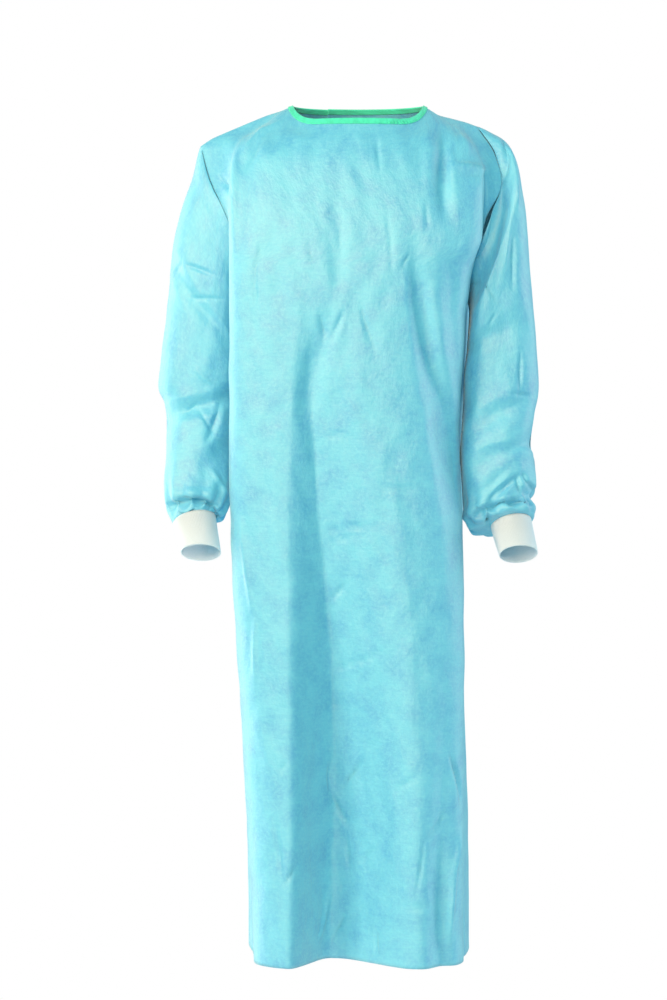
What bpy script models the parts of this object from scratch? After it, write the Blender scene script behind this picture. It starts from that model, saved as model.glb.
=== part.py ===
"""A surgical gown in the hollow shape it takes when it is worn, with no wearer.

Units are metres, +Z is up. The wearer looks along -Y, so the wearer's left is +X.
The origin lies midway between the two side points of the neck, where the shoulders carry the gown.
A drop is a distance below the origin.
"""

import math
from collections import defaultdict

import bmesh
import bpy
import numpy as np

# ------------------------------------------------------------------ driving sizes
WALL = 0.002                  # cloth wall
SEAM_GAP = 0.0003             # clearance between sewn neighbours
MITRE_LIMIT = 2.2             # longest mitre at a seam, in wall thicknesses

NECK_HALF = 0.0985            # half the width of the neck opening
PIT_DROP = 0.275              # underarm point
HEM_DROP = 1.279              # lower edge
BINDING_LEVEL = 0.045         # level at which the neck binding ends

# A level says how far down a panel a row lies: 0 neck edge, 1 shoulder tip, 2 underarm, 3 hem.
SHOULDER_ROWS = 3
ARMHOLE_ROWS = 8
SKIRT_ROWS = 18
FRONT_COLUMNS = 30
BACK_COLUMNS = 13
SLEEVE_RINGS = 15
CUFF_RINGS = 3
SLEEVE_COLUMNS = 4 * ARMHOLE_ROWS

# How far each shoulder seam bows up from a straight line between neck and shoulder tip.
SHOULDER_COLUMNS = ("level", "right_rise", "left_rise")
SHOULDER_BOWS = (
    (0.00, 0.0000, 0.0000),
    (0.10, 0.0005, -0.0050),
    (0.30, 0.0032, -0.0045),
    (0.60, 0.0040, -0.0018),
    (0.85, 0.0042, 0.0000),
    (1.00, 0.0000, 0.0000),
)

SLOPE_LIMIT = 2.0             # steepest a curve through a table runs, in slopes of its flatter side
RETURN_STEPS = 24             # points worked out between a seam and the fold edge beside it
ARC_STEPS = 160               # points worked out from fold edge to fold edge
RETURN_CURL = 1.6             # how sharply the cloth curls in from the fold edge to the seam
SEAM_FADE = 0.035             # folds fade out over this stretch beside a seam
NECK_SINK = 1.15              # how soon the neck edge reaches its lowest

# One row for each cut across the front or back. reach is how far the middle stands out from the
# side seam's plane, square is how boxy the sweep is, flat is how soon it drops to its lowest, and
# the last six columns place the two fold edges where the panel turns round the side.
CUT_COLUMNS = ("level", "drop", "reach", "square", "flat",
               "right_x", "right_y", "right_drop", "left_x", "left_y", "left_drop")
FRONT_CUTS = (
    (0.00, 0.0270, 0.078, 2.3, 1.0, -0.0985, 0.000, 0.000, 0.0985, 0.000, 0.000),
    (0.045, 0.0355, 0.083, 2.3, 0.9, -0.1052, -0.003, 0.003, 0.1040, -0.003, 0.0035),
    (0.50, 0.066, 0.102, 2.4, 0.2, -0.145, -0.028, 0.036, 0.132, -0.020, 0.025),
    (1.00, 0.110, 0.119, 2.5, 0.0, -0.184, -0.045, 0.067, 0.160, -0.038, 0.050),
    (1.35, 0.168, 0.131, 2.7, 0.0, -0.191, -0.072, 0.130, 0.186, -0.066, 0.105),
    (1.70, 0.225, 0.138, 2.8, 0.0, -0.192, -0.078, 0.205, 0.184, -0.072, 0.190),
    (2.00, 0.275, 0.140, 2.8, 0.0, -0.192, -0.076, 0.275, 0.165, -0.050, 0.275),
    (2.20, 0.476, 0.138, 2.8, 0.0, -0.192, -0.070, 0.476, 0.152, -0.028, 0.476),
    (2.35, 0.626, 0.136, 2.8, 0.0, -0.190, -0.062, 0.626, 0.156, -0.045, 0.626),
    (2.60, 0.877, 0.138, 3.0, 0.0, -0.178, -0.020, 0.877, 0.158, -0.050, 0.877),
    (2.80, 1.078, 0.141, 3.0, 0.0, -0.166, -0.030, 1.078, 0.158, -0.048, 1.078),
    (3.00, 1.279, 0.145, 2.8, 0.0, -0.155, -0.050, 1.279, 0.157, -0.035, 1.279),
)
BACK_CUTS = (
    (0.00, 0.000, 0.060, 2.1, 1.0, -0.0985, 0.000, 0.000, 0.0985, 0.000, 0.000),
    (0.045, 0.0065, 0.064, 2.1, 0.9, -0.1052, 0.003, 0.003, 0.1040, 0.003, 0.0035),
    (0.50, 0.040, 0.090, 2.3, 0.2, -0.150, 0.020, 0.034, 0.135, 0.018, 0.023),
    (1.00, 0.085, 0.112, 2.5, 0.0, -0.195, 0.040, 0.075, 0.165, 0.035, 0.045),
    (1.35, 0.150, 0.128, 2.7, 0.0, -0.200, 0.065, 0.125, 0.195, 0.060, 0.105),
    (1.70, 0.215, 0.135, 2.7, 0.0, -0.184, 0.085, 0.205, 0.186, 0.085, 0.195),
    (2.00, 0.275, 0.137, 2.7, 0.0, -0.160, 0.082, 0.275, 0.175, 0.080, 0.275),
    (2.20, 0.476, 0.132, 2.7, 0.0, -0.158, 0.078, 0.476, 0.171, 0.074, 0.476),
    (2.35, 0.626, 0.131, 2.7, 0.0, -0.162, 0.078, 0.626, 0.161, 0.068, 0.626),
    (2.60, 0.877, 0.135, 2.6, 0.0, -0.168, 0.085, 0.877, 0.163, 0.065, 0.877),
    (2.80, 1.078, 0.141, 2.7, 0.0, -0.170, 0.098, 1.078, 0.169, 0.070, 1.078),
    (3.00, 1.279, 0.147, 2.8, 0.0, -0.168, 0.110, 1.279, 0.172, 0.075, 1.279),
)

# Armhole seams, tip to underarm.
ARMHOLE_COLUMNS = ("share", "front_x", "front_y", "front_drop", "back_x", "back_y", "back_drop")
ARMHOLES = {
    "right": (
        (0.00, -0.2370, 0.000, 0.060, -0.237, 0.000, 0.060),
        (0.25, -0.2225, -0.027, 0.112, -0.226, 0.035, 0.112),
        (0.50, -0.2035, -0.045, 0.154, -0.207, 0.060, 0.162),
        (0.75, -0.1780, -0.040, 0.212, -0.180, 0.055, 0.222),
        (1.00, -0.1520, 0.008, 0.275, -0.152, 0.008, 0.275),
    ),
    "left": (
        (0.00, 0.1790, 0.000, 0.030, 0.179, 0.000, 0.030),
        (0.25, 0.2060, -0.034, 0.078, 0.205, 0.035, 0.085),
        (0.50, 0.2130, -0.048, 0.128, 0.214, 0.062, 0.140),
        (0.70, 0.1900, -0.056, 0.175, 0.199, 0.058, 0.198),
        (0.84, 0.1790, -0.050, 0.217, 0.182, 0.044, 0.236),
        (1.00, 0.1520, 0.006, 0.275, 0.152, 0.006, 0.275),
    ),
}

SIDE_SEAM_COLUMNS = ("level", "right_x", "right_y", "left_x", "left_y")
SIDE_SEAMS = (
    (2.00, -0.152, 0.008, 0.152, 0.006),
    (2.20, -0.152, 0.013, 0.145, 0.010),
    (2.35, -0.156, 0.015, 0.148, 0.004),
    (2.60, -0.162, 0.020, 0.155, -0.012),
    (2.80, -0.163, 0.022, 0.158, -0.018),
    (3.00, -0.160, 0.024, 0.160, -0.020),
)

# Each fold pushes a panel inward along Y. It starts at start_x, is deepest at line_x and ends at end_x.
# crisp says how straight its flanks are, from 0 for a soft wave to 1 for a pinched fold.
FOLD_COLUMNS = ("drop", "start_x", "line_x", "end_x", "depth", "crisp")
FRONT_FOLDS = {
    "long valley": (
        (0.28, -0.088, -0.070, -0.035, 0.000, 0.6),
        (0.34, -0.091, -0.069, -0.015, 0.005, 0.7),
        (0.40, -0.096, -0.070, 0.000, 0.011, 0.7),
        (0.49, -0.100, -0.067, 0.030, 0.018, 0.8),
        (0.63, -0.104, -0.057, 0.060, 0.030, 0.8),
        (0.80, -0.104, -0.042, 0.080, 0.054, 0.6),
        (0.97, -0.104, -0.036, 0.092, 0.080, 0.3),
        (1.28, -0.106, -0.040, 0.098, 0.108, 0.0),
    ),
    "left chest fold": (
        (0.20, 0.068, 0.082, 0.098, 0.000, 0.3),
        (0.25, 0.066, 0.082, 0.104, 0.004, 0.5),
        (0.34, 0.074, 0.092, 0.118, 0.009, 0.7),
        (0.41, 0.086, 0.113, 0.140, 0.013, 0.7),
        (0.49, 0.098, 0.136, 0.160, 0.017, 0.6),
        (0.56, 0.110, 0.144, 0.170, 0.015, 0.5),
        (0.63, 0.122, 0.144, 0.170, 0.008, 0.4),
        (0.72, 0.124, 0.146, 0.170, 0.000, 0.3),
    ),
    "left side fold": (
        (0.22, 0.118, 0.136, 0.152, 0.000, 0.3),
        (0.29, 0.116, 0.136, 0.152, 0.005, 0.5),
        (0.36, 0.122, 0.140, 0.153, 0.006, 0.5),
        (0.44, 0.134, 0.146, 0.156, 0.000, 0.3),
    ),
    "left hem fold": (
        (1.04, 0.100, 0.126, 0.150, 0.000, 0.2),
        (1.15, 0.097, 0.120, 0.145, 0.009, 0.3),
        (1.28, 0.097, 0.122, 0.147, 0.014, 0.2),
    ),
    "right shoulder hollow": (
        (0.05, -0.187, -0.172, -0.140, 0.000, 0.2),
        (0.10, -0.187, -0.174, -0.140, 0.006, 0.2),
        (0.18, -0.187, -0.174, -0.145, 0.005, 0.2),
        (0.26, -0.187, -0.175, -0.150, 0.000, 0.2),
    ),
    "left shoulder hollow": (
        (0.03, 0.098, 0.124, 0.146, 0.000, 0.3),
        (0.06, 0.098, 0.124, 0.142, 0.007, 0.5),
        (0.13, 0.100, 0.124, 0.145, 0.008, 0.5),
        (0.20, 0.104, 0.122, 0.150, 0.000, 0.3),
    ),
}
BACK_FOLDS = {
    "right valley": (
        (0.40, -0.130, -0.095, -0.060, 0.000, 0.4),
        (0.75, -0.135, -0.090, -0.045, 0.020, 0.4),
        (1.28, -0.140, -0.085, -0.030, 0.045, 0.1),
    ),
    "left valley": (
        (0.30, 0.060, 0.095, 0.130, 0.000, 0.4),
        (0.75, 0.070, 0.108, 0.145, 0.018, 0.4),
        (1.28, 0.060, 0.110, 0.155, 0.038, 0.1),
    ),
}

# The two back panels lap at the middle, the right one outside.
# inset is how far the inner one lies inside the outer one.
LAP_COLUMNS = ("level", "outer_end_x", "inner_end_x", "inset")
LAPS = (
    (0.00, 0.055, -0.045, 0.0075),
    (0.10, 0.056, -0.046, 0.0075),
    (0.60, 0.058, -0.048, 0.0045),
    (1.00, 0.060, -0.050, 0.0042),
    (3.00, 0.075, -0.060, 0.0050),
)
LAP_RAMP_START = 0.135        # x where the inner panel starts to draw in
LAP_RAMP_END = 0.085

# Sleeve rings, armhole to cuff. freed is how far a ring has left the armhole's shape, bow is how
# far its front and back stand further out than its middle, and square is how boxy it is.
RING_COLUMNS = ("along", "freed", "outer_x", "outer_drop", "inner_x", "inner_drop",
                "mid_y", "half_y", "bow", "tilt", "square")
SLEEVE_CUTS = {
    "right": (
        (0.00, 0.00, -0.2370, 0.060, -0.152, 0.275, 0.004, 0.050, 0.010, 0, 2.0),
        (0.07, 0.55, -0.2435, 0.077, -0.166, 0.288, 0.010, 0.052, 0.010, 0, 2.0),
        (0.14, 0.85, -0.2500, 0.105, -0.172, 0.300, 0.014, 0.054, 0.006, 0, 2.1),
        (0.22, 1.00, -0.2640, 0.145, -0.174, 0.315, 0.016, 0.056, 0.000, 0, 2.2),
        (0.32, 1.00, -0.2780, 0.205, -0.174, 0.338, 0.018, 0.057, 0.000, 2, 2.2),
        (0.45, 1.00, -0.2880, 0.295, -0.173, 0.372, 0.020, 0.057, 0.000, 4, 2.2),
        (0.55, 1.00, -0.2970, 0.374, -0.174, 0.412, 0.022, 0.057, 0.000, 5, 2.2),
        (0.60, 1.00, -0.3030, 0.419, -0.176, 0.438, 0.024, 0.057, 0.000, 7, 2.2),
        (0.66, 1.00, -0.2935, 0.446, -0.180, 0.458, 0.021, 0.056, 0.000, 9, 2.2),
        (0.74, 1.00, -0.2890, 0.485, -0.185, 0.490, 0.013, 0.053, 0.000, 14, 2.2),
        (0.82, 1.00, -0.2885, 0.525, -0.189, 0.528, 0.002, 0.051, 0.000, 19, 2.2),
        (0.90, 1.00, -0.2910, 0.573, -0.191, 0.584, -0.011, 0.049, 0.000, 23, 2.2),
        (0.95, 1.00, -0.2870, 0.600, -0.200, 0.612, -0.022, 0.045, 0.000, 26, 2.1),
        (1.00, 1.00, -0.2790, 0.622, -0.214, 0.622, -0.030, 0.0325, 0.000, 27, 2.0),
    ),
    "left": (
        (0.00, 0.00, 0.1790, 0.030, 0.152, 0.275, 0.004, 0.048, 0.045, 0, 2.0),
        (0.07, 0.38, 0.2040, 0.0395, 0.163, 0.285, 0.002, 0.058, 0.036, 0, 2.4),
        (0.14, 0.75, 0.2280, 0.0560, 0.168, 0.296, -0.004, 0.062, 0.022, 0, 2.8),
        (0.20, 0.92, 0.2368, 0.0785, 0.168, 0.306, -0.009, 0.064, 0.014, 0, 3.2),
        (0.28, 1.00, 0.2440, 0.120, 0.167, 0.318, -0.013, 0.064, 0.006, 0, 3.4),
        (0.38, 1.00, 0.2530, 0.190, 0.166, 0.338, -0.013, 0.062, 0.002, 2, 3.4),
        (0.48, 1.00, 0.2610, 0.283, 0.1635, 0.372, -0.011, 0.058, 0.000, 4, 3.1),
        (0.55, 1.00, 0.2670, 0.351, 0.160, 0.405, -0.010, 0.055, 0.000, 5, 2.8),
        (0.60, 1.00, 0.2716, 0.419, 0.158, 0.440, -0.010, 0.055, 0.000, 7, 2.6),
        (0.67, 1.00, 0.2650, 0.465, 0.156, 0.472, -0.013, 0.054, 0.000, 10, 2.5),
        (0.74, 1.00, 0.2596, 0.508, 0.153, 0.513, -0.019, 0.053, 0.000, 15, 2.5),
        (0.82, 1.00, 0.2660, 0.536, 0.1535, 0.543, -0.024, 0.052, 0.000, 19, 2.4),
        (0.89, 1.00, 0.2670, 0.574, 0.157, 0.598, -0.029, 0.049, 0.000, 24, 2.3),
        (0.925, 1.00, 0.2545, 0.5915, 0.161, 0.622, -0.032, 0.046, 0.000, 25, 2.2),
        (0.955, 1.00, 0.2640, 0.607, 0.170, 0.637, -0.034, 0.044, 0.000, 26, 2.1),
        (1.00, 1.00, 0.2610, 0.627, 0.199, 0.627, -0.037, 0.0310, 0.000, 28, 2.0),
    ),
}

# Folds across a sleeve: a line from one place to another, in share of the length and in degrees
# round the sleeve from its outer side, over the front at 90, to the inner side at 180.
CREASE_COLUMNS = ("along_start", "round_start", "along_end", "round_end", "half_width", "depth")
SLEEVE_FOLDS = {
    "right": (
        (0.36, 20, 0.43, 110, 0.012, 0.005),
        (0.60, 150, 0.70, 75, 0.014, 0.007),
        (0.72, 20, 0.68, 95, 0.013, 0.006),
        (0.80, 160, 0.88, 90, 0.013, 0.006),
        (0.62, 210, 0.66, 300, 0.014, 0.006),
    ),
    "left": (
        (0.46, 160, 0.52, 60, 0.012, 0.005),
        (0.62, 40, 0.72, 130, 0.014, 0.007),
        (0.74, 15, 0.84, 110, 0.014, 0.008),
        (0.82, 20, 0.92, 120, 0.013, 0.008),
        (0.62, 210, 0.67, 300, 0.014, 0.006),
    ),
}
SLEEVE_LENGTH = 0.56          # shoulder tip to cuff
GATHERS = 11                  # round each sleeve where it meets its cuff
GATHER_START = 0.84           # share of the sleeve's length where the gathers begin
GATHER_DEPTH = 0.0040

# Cuffs, from the gathers to the lip. A ring is square to the cuff's axis, or level where levelled is 1.
CUFF_COLUMNS = ("along", "x", "y", "drop", "radius", "levelled")
CUFFS = {
    "right": (
        (0.0, -0.2455, -0.0300, 0.6220, 0.0325, 0.0),
        (0.5, -0.2400, -0.0420, 0.6460, 0.0310, 0.4),
        (1.0, -0.2345, -0.0545, 0.6700, 0.0298, 1.0),
    ),
    "left": (
        (0.0, 0.2285, -0.0370, 0.6270, 0.0312, 0.0),
        (0.5, 0.2335, -0.0490, 0.6500, 0.0300, 0.3),
        (1.0, 0.2385, -0.0620, 0.6720, 0.0288, 0.7),
    ),
}

BINDING_WALL = 0.0009         # cloth of the neck binding
BINDING_GAP = 0.0004          # clearance between binding and panel
BINDING_KNOT = 0.0030         # extra thickness of the doubled end at the back

COLOURS = {
    "gown": (0.36, 0.74, 0.85, 1.0),
    "binding": (0.10, 0.78, 0.52, 1.0),
    "cuff": (0.88, 0.90, 0.88, 1.0),
}


# ------------------------------------------------------------------ reading the tables
def smooth_values(columns, rows, at):
    """Values of every column at one or more places, on smooth curves through the table's rows."""
    table = np.array(rows, dtype=float)
    keys = table[:, 0]
    slopes = np.gradient(table, keys, axis=0)
    rises = np.abs(np.diff(table, axis=0) / np.diff(keys)[:, None])
    steepest = SLOPE_LIMIT * np.minimum(rises[:-1], rises[1:])
    slopes[1:-1] = np.clip(slopes[1:-1], -steepest, steepest)
    at = np.clip(at, keys[0], keys[-1])
    index = np.clip(np.searchsorted(keys, at, side="right") - 1, 0, len(keys) - 2)
    step = (keys[index + 1] - keys[index])[..., None]
    part = (at - keys[index])[..., None] / step
    value = ((1 + 2 * part) * (1 - part) ** 2 * table[index]
             + part * (1 - part) ** 2 * step * slopes[index]
             + part ** 2 * (3 - 2 * part) * table[index + 1]
             + part ** 2 * (part - 1) * step * slopes[index + 1])
    return dict(zip(columns, np.moveaxis(value, -1, 0)))


def ease(part):
    """A soft step from 0 to 1."""
    part = np.clip(part, 0.0, 1.0)
    return part * part * (3 - 2 * part)


def flank(part, crisp):
    """The side of a fold, from 0 at its foot to 1 at its line: a soft step or, if crisp, a straight one."""
    part = np.clip(part, 0.0, 1.0)
    return (1 - crisp) * ease(part) + crisp * (part + part * part * (2 - part)) / 2


# ------------------------------------------------------------------ seams
def neck_point(side):
    return np.array([NECK_HALF if side == "left" else -NECK_HALF, 0.0, 0.0])


def armhole_point(side, face, share):
    row = smooth_values(ARMHOLE_COLUMNS, ARMHOLES[side], share)
    return np.array([row[face + "_x"], row[face + "_y"], -row[face + "_drop"]])


def seam_point(side, face, level):
    """Where a row of the front or back panel ends: shoulder seam, armhole or side seam."""
    if level <= 1:
        tip = armhole_point(side, face, 0.0)
        start = neck_point(side)
        rise = smooth_values(SHOULDER_COLUMNS, SHOULDER_BOWS, level)[side + "_rise"]
        return start + (tip - start) * level + np.array([0.0, 0.0, rise])
    if level <= 2:
        return armhole_point(side, face, level - 1)
    row = smooth_values(SIDE_SEAM_COLUMNS, SIDE_SEAMS, level)
    drop = PIT_DROP + (level - 2) * (HEM_DROP - PIT_DROP)
    return np.array([row[side + "_x"], row[side + "_y"], -drop])


# ------------------------------------------------------------------ body panels
def fold_push(folds, points):
    """How far the folds press each point inward."""
    across, drop = points[:, 0], -points[:, 2]
    push = np.zeros(len(points))
    for rows in folds.values():
        fold = smooth_values(FOLD_COLUMNS, rows, drop)
        before = (across - fold["start_x"]) / (fold["line_x"] - fold["start_x"])
        after = (fold["end_x"] - across) / (fold["end_x"] - fold["line_x"])
        reached = (drop >= rows[0][0]) & (drop <= rows[-1][0])
        push += reached * fold["depth"] * flank(np.minimum(before, after), fold["crisp"])
    return push


def run_length(points):
    """Distance along a line of points, at each point."""
    steps = np.linalg.norm(np.diff(points, axis=0), axis=1)
    return np.concatenate([[0.0], np.cumsum(steps)])


def even_points(points, count):
    """The line through the points, cut into equal steps."""
    length = run_length(points)
    places = np.linspace(0, length[-1], count + 1)
    return np.column_stack([np.interp(places, length, points[:, axis]) for axis in range(3)])


def body_row(face, level):
    """One row of cloth from the right seam to the left seam, across the front or the back."""
    inward = 1.0 if face == "front" else -1.0
    cut = smooth_values(CUT_COLUMNS, FRONT_CUTS if face == "front" else BACK_CUTS, level)
    edges = {side: np.array([cut[side + "_x"], cut[side + "_y"], -cut[side + "_drop"]])
             for side in ("right", "left")}

    def side_return(side):
        seam = seam_point(side, face, level)
        share = np.linspace(1, 0, RETURN_STEPS, endpoint=False)
        curl = np.column_stack([share ** RETURN_CURL, share, share])
        return edges[side] + (seam - edges[side]) * curl

    turn = np.linspace(0, math.pi, ARC_STEPS)
    across = -np.sign(np.cos(turn)) * np.abs(np.cos(turn)) ** (2 / cut["square"])
    swell = np.sin(turn) ** (2 / cut["square"])
    share = (1 + across) / 2
    base = edges["right"] + np.outer(share, edges["left"] - edges["right"])
    sweep = base.copy()
    sweep[:, 1] += (-inward * cut["reach"] - base[:, 1]) * swell
    sink = swell + cut["flat"] * (ease(NECK_SINK * swell) - swell)
    sweep[:, 2] += (-cut["drop"] - base[:, 2]) * sink

    points = np.vstack([side_return("right"), sweep, side_return("left")[::-1]])
    length = run_length(points)
    from_seam = np.minimum(length, length[-1] - length)
    folds = FRONT_FOLDS if face == "front" else BACK_FOLDS
    points[:, 1] += inward * fold_push(folds, points) * ease(from_seam / SEAM_FADE)
    return points


def row_levels():
    """Levels of the rows of every panel; the second one is the binding's lower edge."""
    shoulder = np.linspace(BINDING_LEVEL, 1, SHOULDER_ROWS + 1)
    armhole = np.linspace(1, 2, ARMHOLE_ROWS + 1)[1:]
    skirt = np.linspace(2, 3, SKIRT_ROWS + 1)[1:]
    return np.concatenate([[0.0], shoulder, armhole, skirt])


def front_grid():
    return np.array([even_points(body_row("front", level), FRONT_COLUMNS) for level in row_levels()])


def cut_at(row, across):
    """The two parts of a row, right and left of a place across the back."""
    last = np.flatnonzero(row[:, 0] <= across)[-1]
    share = (across - row[last, 0]) / (row[last + 1, 0] - row[last, 0])
    end = row[last] + (row[last + 1] - row[last]) * share
    return np.vstack([row[:last + 1], end]), np.vstack([end, row[last + 1:]])


def back_grids():
    """The right back panel, from its free edge to its seam, and the left one, seam to free edge."""
    right_rows, left_rows = [], []
    for level in row_levels():
        row = body_row("back", level)
        lap = smooth_values(LAP_COLUMNS, LAPS, level)
        outer = cut_at(row, lap["outer_end_x"])[0]
        inner = cut_at(row, lap["inner_end_x"])[1]
        draw_in = ease((LAP_RAMP_START - inner[:, 0]) / (LAP_RAMP_START - LAP_RAMP_END))
        length = run_length(inner)
        draw_in *= ease((length[-1] - length) / SEAM_FADE)
        inner[:, 1] -= lap["inset"] * draw_in
        right_rows.append(even_points(outer, BACK_COLUMNS)[::-1])
        left_rows.append(even_points(inner, BACK_COLUMNS)[::-1])
    return np.array(right_rows), np.array(left_rows)


# ------------------------------------------------------------------ sleeves and cuffs
def armhole_ring(side):
    """The armhole as the panels' row ends give it, with one point more on each of their steps."""
    share = np.linspace(0, 1, ARMHOLE_ROWS + 1)
    front = [armhole_point(side, "front", part) for part in share]
    back = [armhole_point(side, "back", part) for part in share]
    corners = front + back[-2:0:-1]
    ring = []
    for index, corner in enumerate(corners):
        following = corners[(index + 1) % len(corners)]
        ring += [corner, (corner + following) / 2]
    return np.array(ring)


def cuff_ring(side, along):
    """A ring of the cuff, from its outer side round by the front."""
    rows = CUFFS[side]
    place = smooth_values(CUFF_COLUMNS, rows, along)
    first, last = np.array(rows[0][1:4]), np.array(rows[-1][1:4])
    axis = (last - first) * (1, 1, -1)
    axis /= np.linalg.norm(axis)
    level = np.array([1.0 if side == "left" else -1.0, 0.0, 0.0])
    outward = level - (1 - place["levelled"]) * axis * level.dot(axis)
    outward /= np.linalg.norm(outward)
    forward = np.cross(axis, level)
    forward *= -np.sign(forward[1]) / np.linalg.norm(forward)
    turn = np.linspace(0, 2 * math.pi, SLEEVE_COLUMNS, endpoint=False)
    centre = np.array([place["x"], place["y"], -place["drop"]])
    return centre + place["radius"] * (np.outer(np.cos(turn), outward) + np.outer(np.sin(turn), forward))


def crease_depth(side, along, turn, radius, length):
    """How far the sleeve's folds press one point towards the arm."""
    depth = 0.0
    for row in SLEEVE_FOLDS[side]:
        fold = dict(zip(CREASE_COLUMNS, row))
        start = np.array([fold["along_start"] * length, math.radians(fold["round_start"]) * radius])
        end = np.array([fold["along_end"] * length, math.radians(fold["round_end"]) * radius])
        here = np.array([along * length, turn * radius])
        part = np.clip((here - start).dot(end - start) / (end - start).dot(end - start), 0, 1)
        gap = np.linalg.norm(here - start - part * (end - start))
        taper = math.sin(math.pi * (0.15 + 0.7 * part))
        depth += fold["depth"] * taper * ease(1 - gap / (2 * fold["half_width"]))
    return depth


def sleeve_ring(side, along):
    cut = smooth_values(RING_COLUMNS, SLEEVE_CUTS[side], along)
    outer = np.array([cut["outer_x"], cut["mid_y"], -cut["outer_drop"]])
    inner = np.array([cut["inner_x"], cut["mid_y"], -cut["inner_drop"]])
    tilt = math.radians(cut["tilt"])
    forward = cut["half_y"] * np.array([0.0, -math.cos(tilt), math.sin(tilt)])
    centre = (outer + inner) / 2
    length = SLEEVE_LENGTH
    radius = (cut["half_y"] + np.linalg.norm(outer - inner) / 2) / 2
    gathered = ease((along - GATHER_START) / (1 - GATHER_START))
    power = 2 / cut["square"]
    ring = []
    for turn in np.linspace(0, 2 * math.pi, SLEEVE_COLUMNS, endpoint=False):
        across, ahead = (math.copysign(abs(part) ** power, part)
                         for part in (math.cos(turn), math.sin(turn)))
        spoke = (outer - centre) * across + forward * ahead
        spoke[0] += (cut["bow"] if side == "left" else -cut["bow"]) * math.sin(turn) ** 2
        press = crease_depth(side, along, turn, radius, length)
        wave = math.cos(GATHERS * turn + 0.7 * math.sin(2 * turn + 1.0))
        press += GATHER_DEPTH * gathered * (1 - ease((along - 0.95) / 0.05) * 0.8) * wave
        ring.append(centre + spoke * (1 - press / np.linalg.norm(spoke)))
    return np.array(ring), np.clip(cut["freed"], 0.0, 1.0)


def sleeve_grid(side):
    start = armhole_ring(side)
    rings = [start]
    for along in np.linspace(0, 1, SLEEVE_RINGS + 1)[1:-1]:
        ring, freed = sleeve_ring(side, along)
        rings.append(start * (1 - freed) + ring * freed)
    rings.append(cuff_ring(side, 0.0))
    return facing_out(side, np.array(rings))


def cuff_grid(side):
    rings = [cuff_ring(side, along) for along in np.linspace(0, 1, CUFF_RINGS + 1)]
    return facing_out(side, np.array(rings))


def facing_out(side, rings):
    """The left arm's rings run the other way round, so that their faces point out as well."""
    if side == "left":
        rings = np.roll(rings[:, ::-1], 1, axis=1)
    return np.concatenate([rings, rings[:, :1]], axis=1)


# ------------------------------------------------------------------ walls
def point_key(point):
    return tuple(int(round(value * 1e6)) for value in point)


def mitres(grids):
    """For every point the step that moves all the faces round it out by one, a mitre at seams."""
    normals = defaultdict(lambda: defaultdict(list))
    for name, grid in grids.items():
        for row in range(grid.shape[0] - 1):
            for column in range(grid.shape[1] - 1):
                corners = (grid[row, column], grid[row, column + 1],
                           grid[row + 1, column + 1], grid[row + 1, column])
                normal = np.cross(corners[2] - corners[0], corners[1] - corners[3])
                normal /= np.linalg.norm(normal)
                for corner in corners:
                    normals[point_key(corner)][name].append(normal)
    steps = {}
    for key, pieces in normals.items():
        spread = np.eye(3) * 0.01
        total = np.zeros(3)
        for faces in pieces.values():
            for normal in faces:
                weight = 1 / (len(faces) * len(pieces))
                spread += weight * np.outer(normal, normal)
                total += weight * normal
        step = np.linalg.solve(spread, total)
        steps[key] = step * min(1.0, MITRE_LIMIT / np.linalg.norm(step))
    return {name: np.array([[steps[point_key(point)] for point in row] for row in grid])
            for name, grid in grids.items()}


def part_seams(grid, steps, seams):
    """Outer and inner faces of a wall, drawn back from the seams by half the seam gap."""
    outer, inner = grid.copy(), grid - WALL * steps
    for seam in seams:
        edge, beside = {"first row": (np.s_[0], np.s_[1]), "last row": (np.s_[-1], np.s_[-2]),
                        "first column": (np.s_[:, 0], np.s_[:, 1]),
                        "last column": (np.s_[:, -1], np.s_[:, -2])}[seam]
        away = grid[beside] - grid[edge]
        away *= SEAM_GAP / 2 / np.linalg.norm(away, axis=-1, keepdims=True)
        outer[edge] += away
        inner[edge] += away
    return outer, inner


def moved_grid(mesh, points):
    """Adds a grid to the mesh with its points moved to the given rows and columns."""
    rows, columns = points.shape[:2]
    made = bmesh.ops.create_grid(mesh, x_segments=columns - 1, y_segments=rows - 1, size=0.5)["verts"]
    for vertex in made:
        column = round((vertex.co.x + 0.5) * (columns - 1))
        row = round((0.5 - vertex.co.y) * (rows - 1))
        vertex.co = points[row, column]
    return made


def wall_piece(name, outer, inner, colour, tube):
    """A closed wall between two grids. A tube's first and last columns are one."""
    mesh = bmesh.new()
    for points in (outer, inner):
        moved_grid(mesh, points)
    if tube:
        bmesh.ops.remove_doubles(mesh, verts=mesh.verts, dist=1e-6)
    mesh.verts.index_update()
    rings = loops_of([edge for edge in mesh.edges if edge.is_boundary])
    pairs = len(rings) // 2
    for index in range(pairs):
        bmesh.ops.bridge_loops(mesh, edges=rings[index] + rings[index + pairs])
    return finished(name, mesh, colour)


def loops_of(edges):
    """Splits border edges into closed loops, in the order of their lowest vertex."""
    loops, left = [], set(edges)
    while left:
        loop, waiting = [], [min(left, key=lambda edge: min(vertex.index for vertex in edge.verts))]
        while waiting:
            edge = waiting.pop()
            if edge not in left:
                continue
            left.remove(edge)
            loop.append(edge)
            waiting += [other for vertex in edge.verts for other in vertex.link_edges if other in left]
        loops.append(loop)
    return loops


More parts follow.
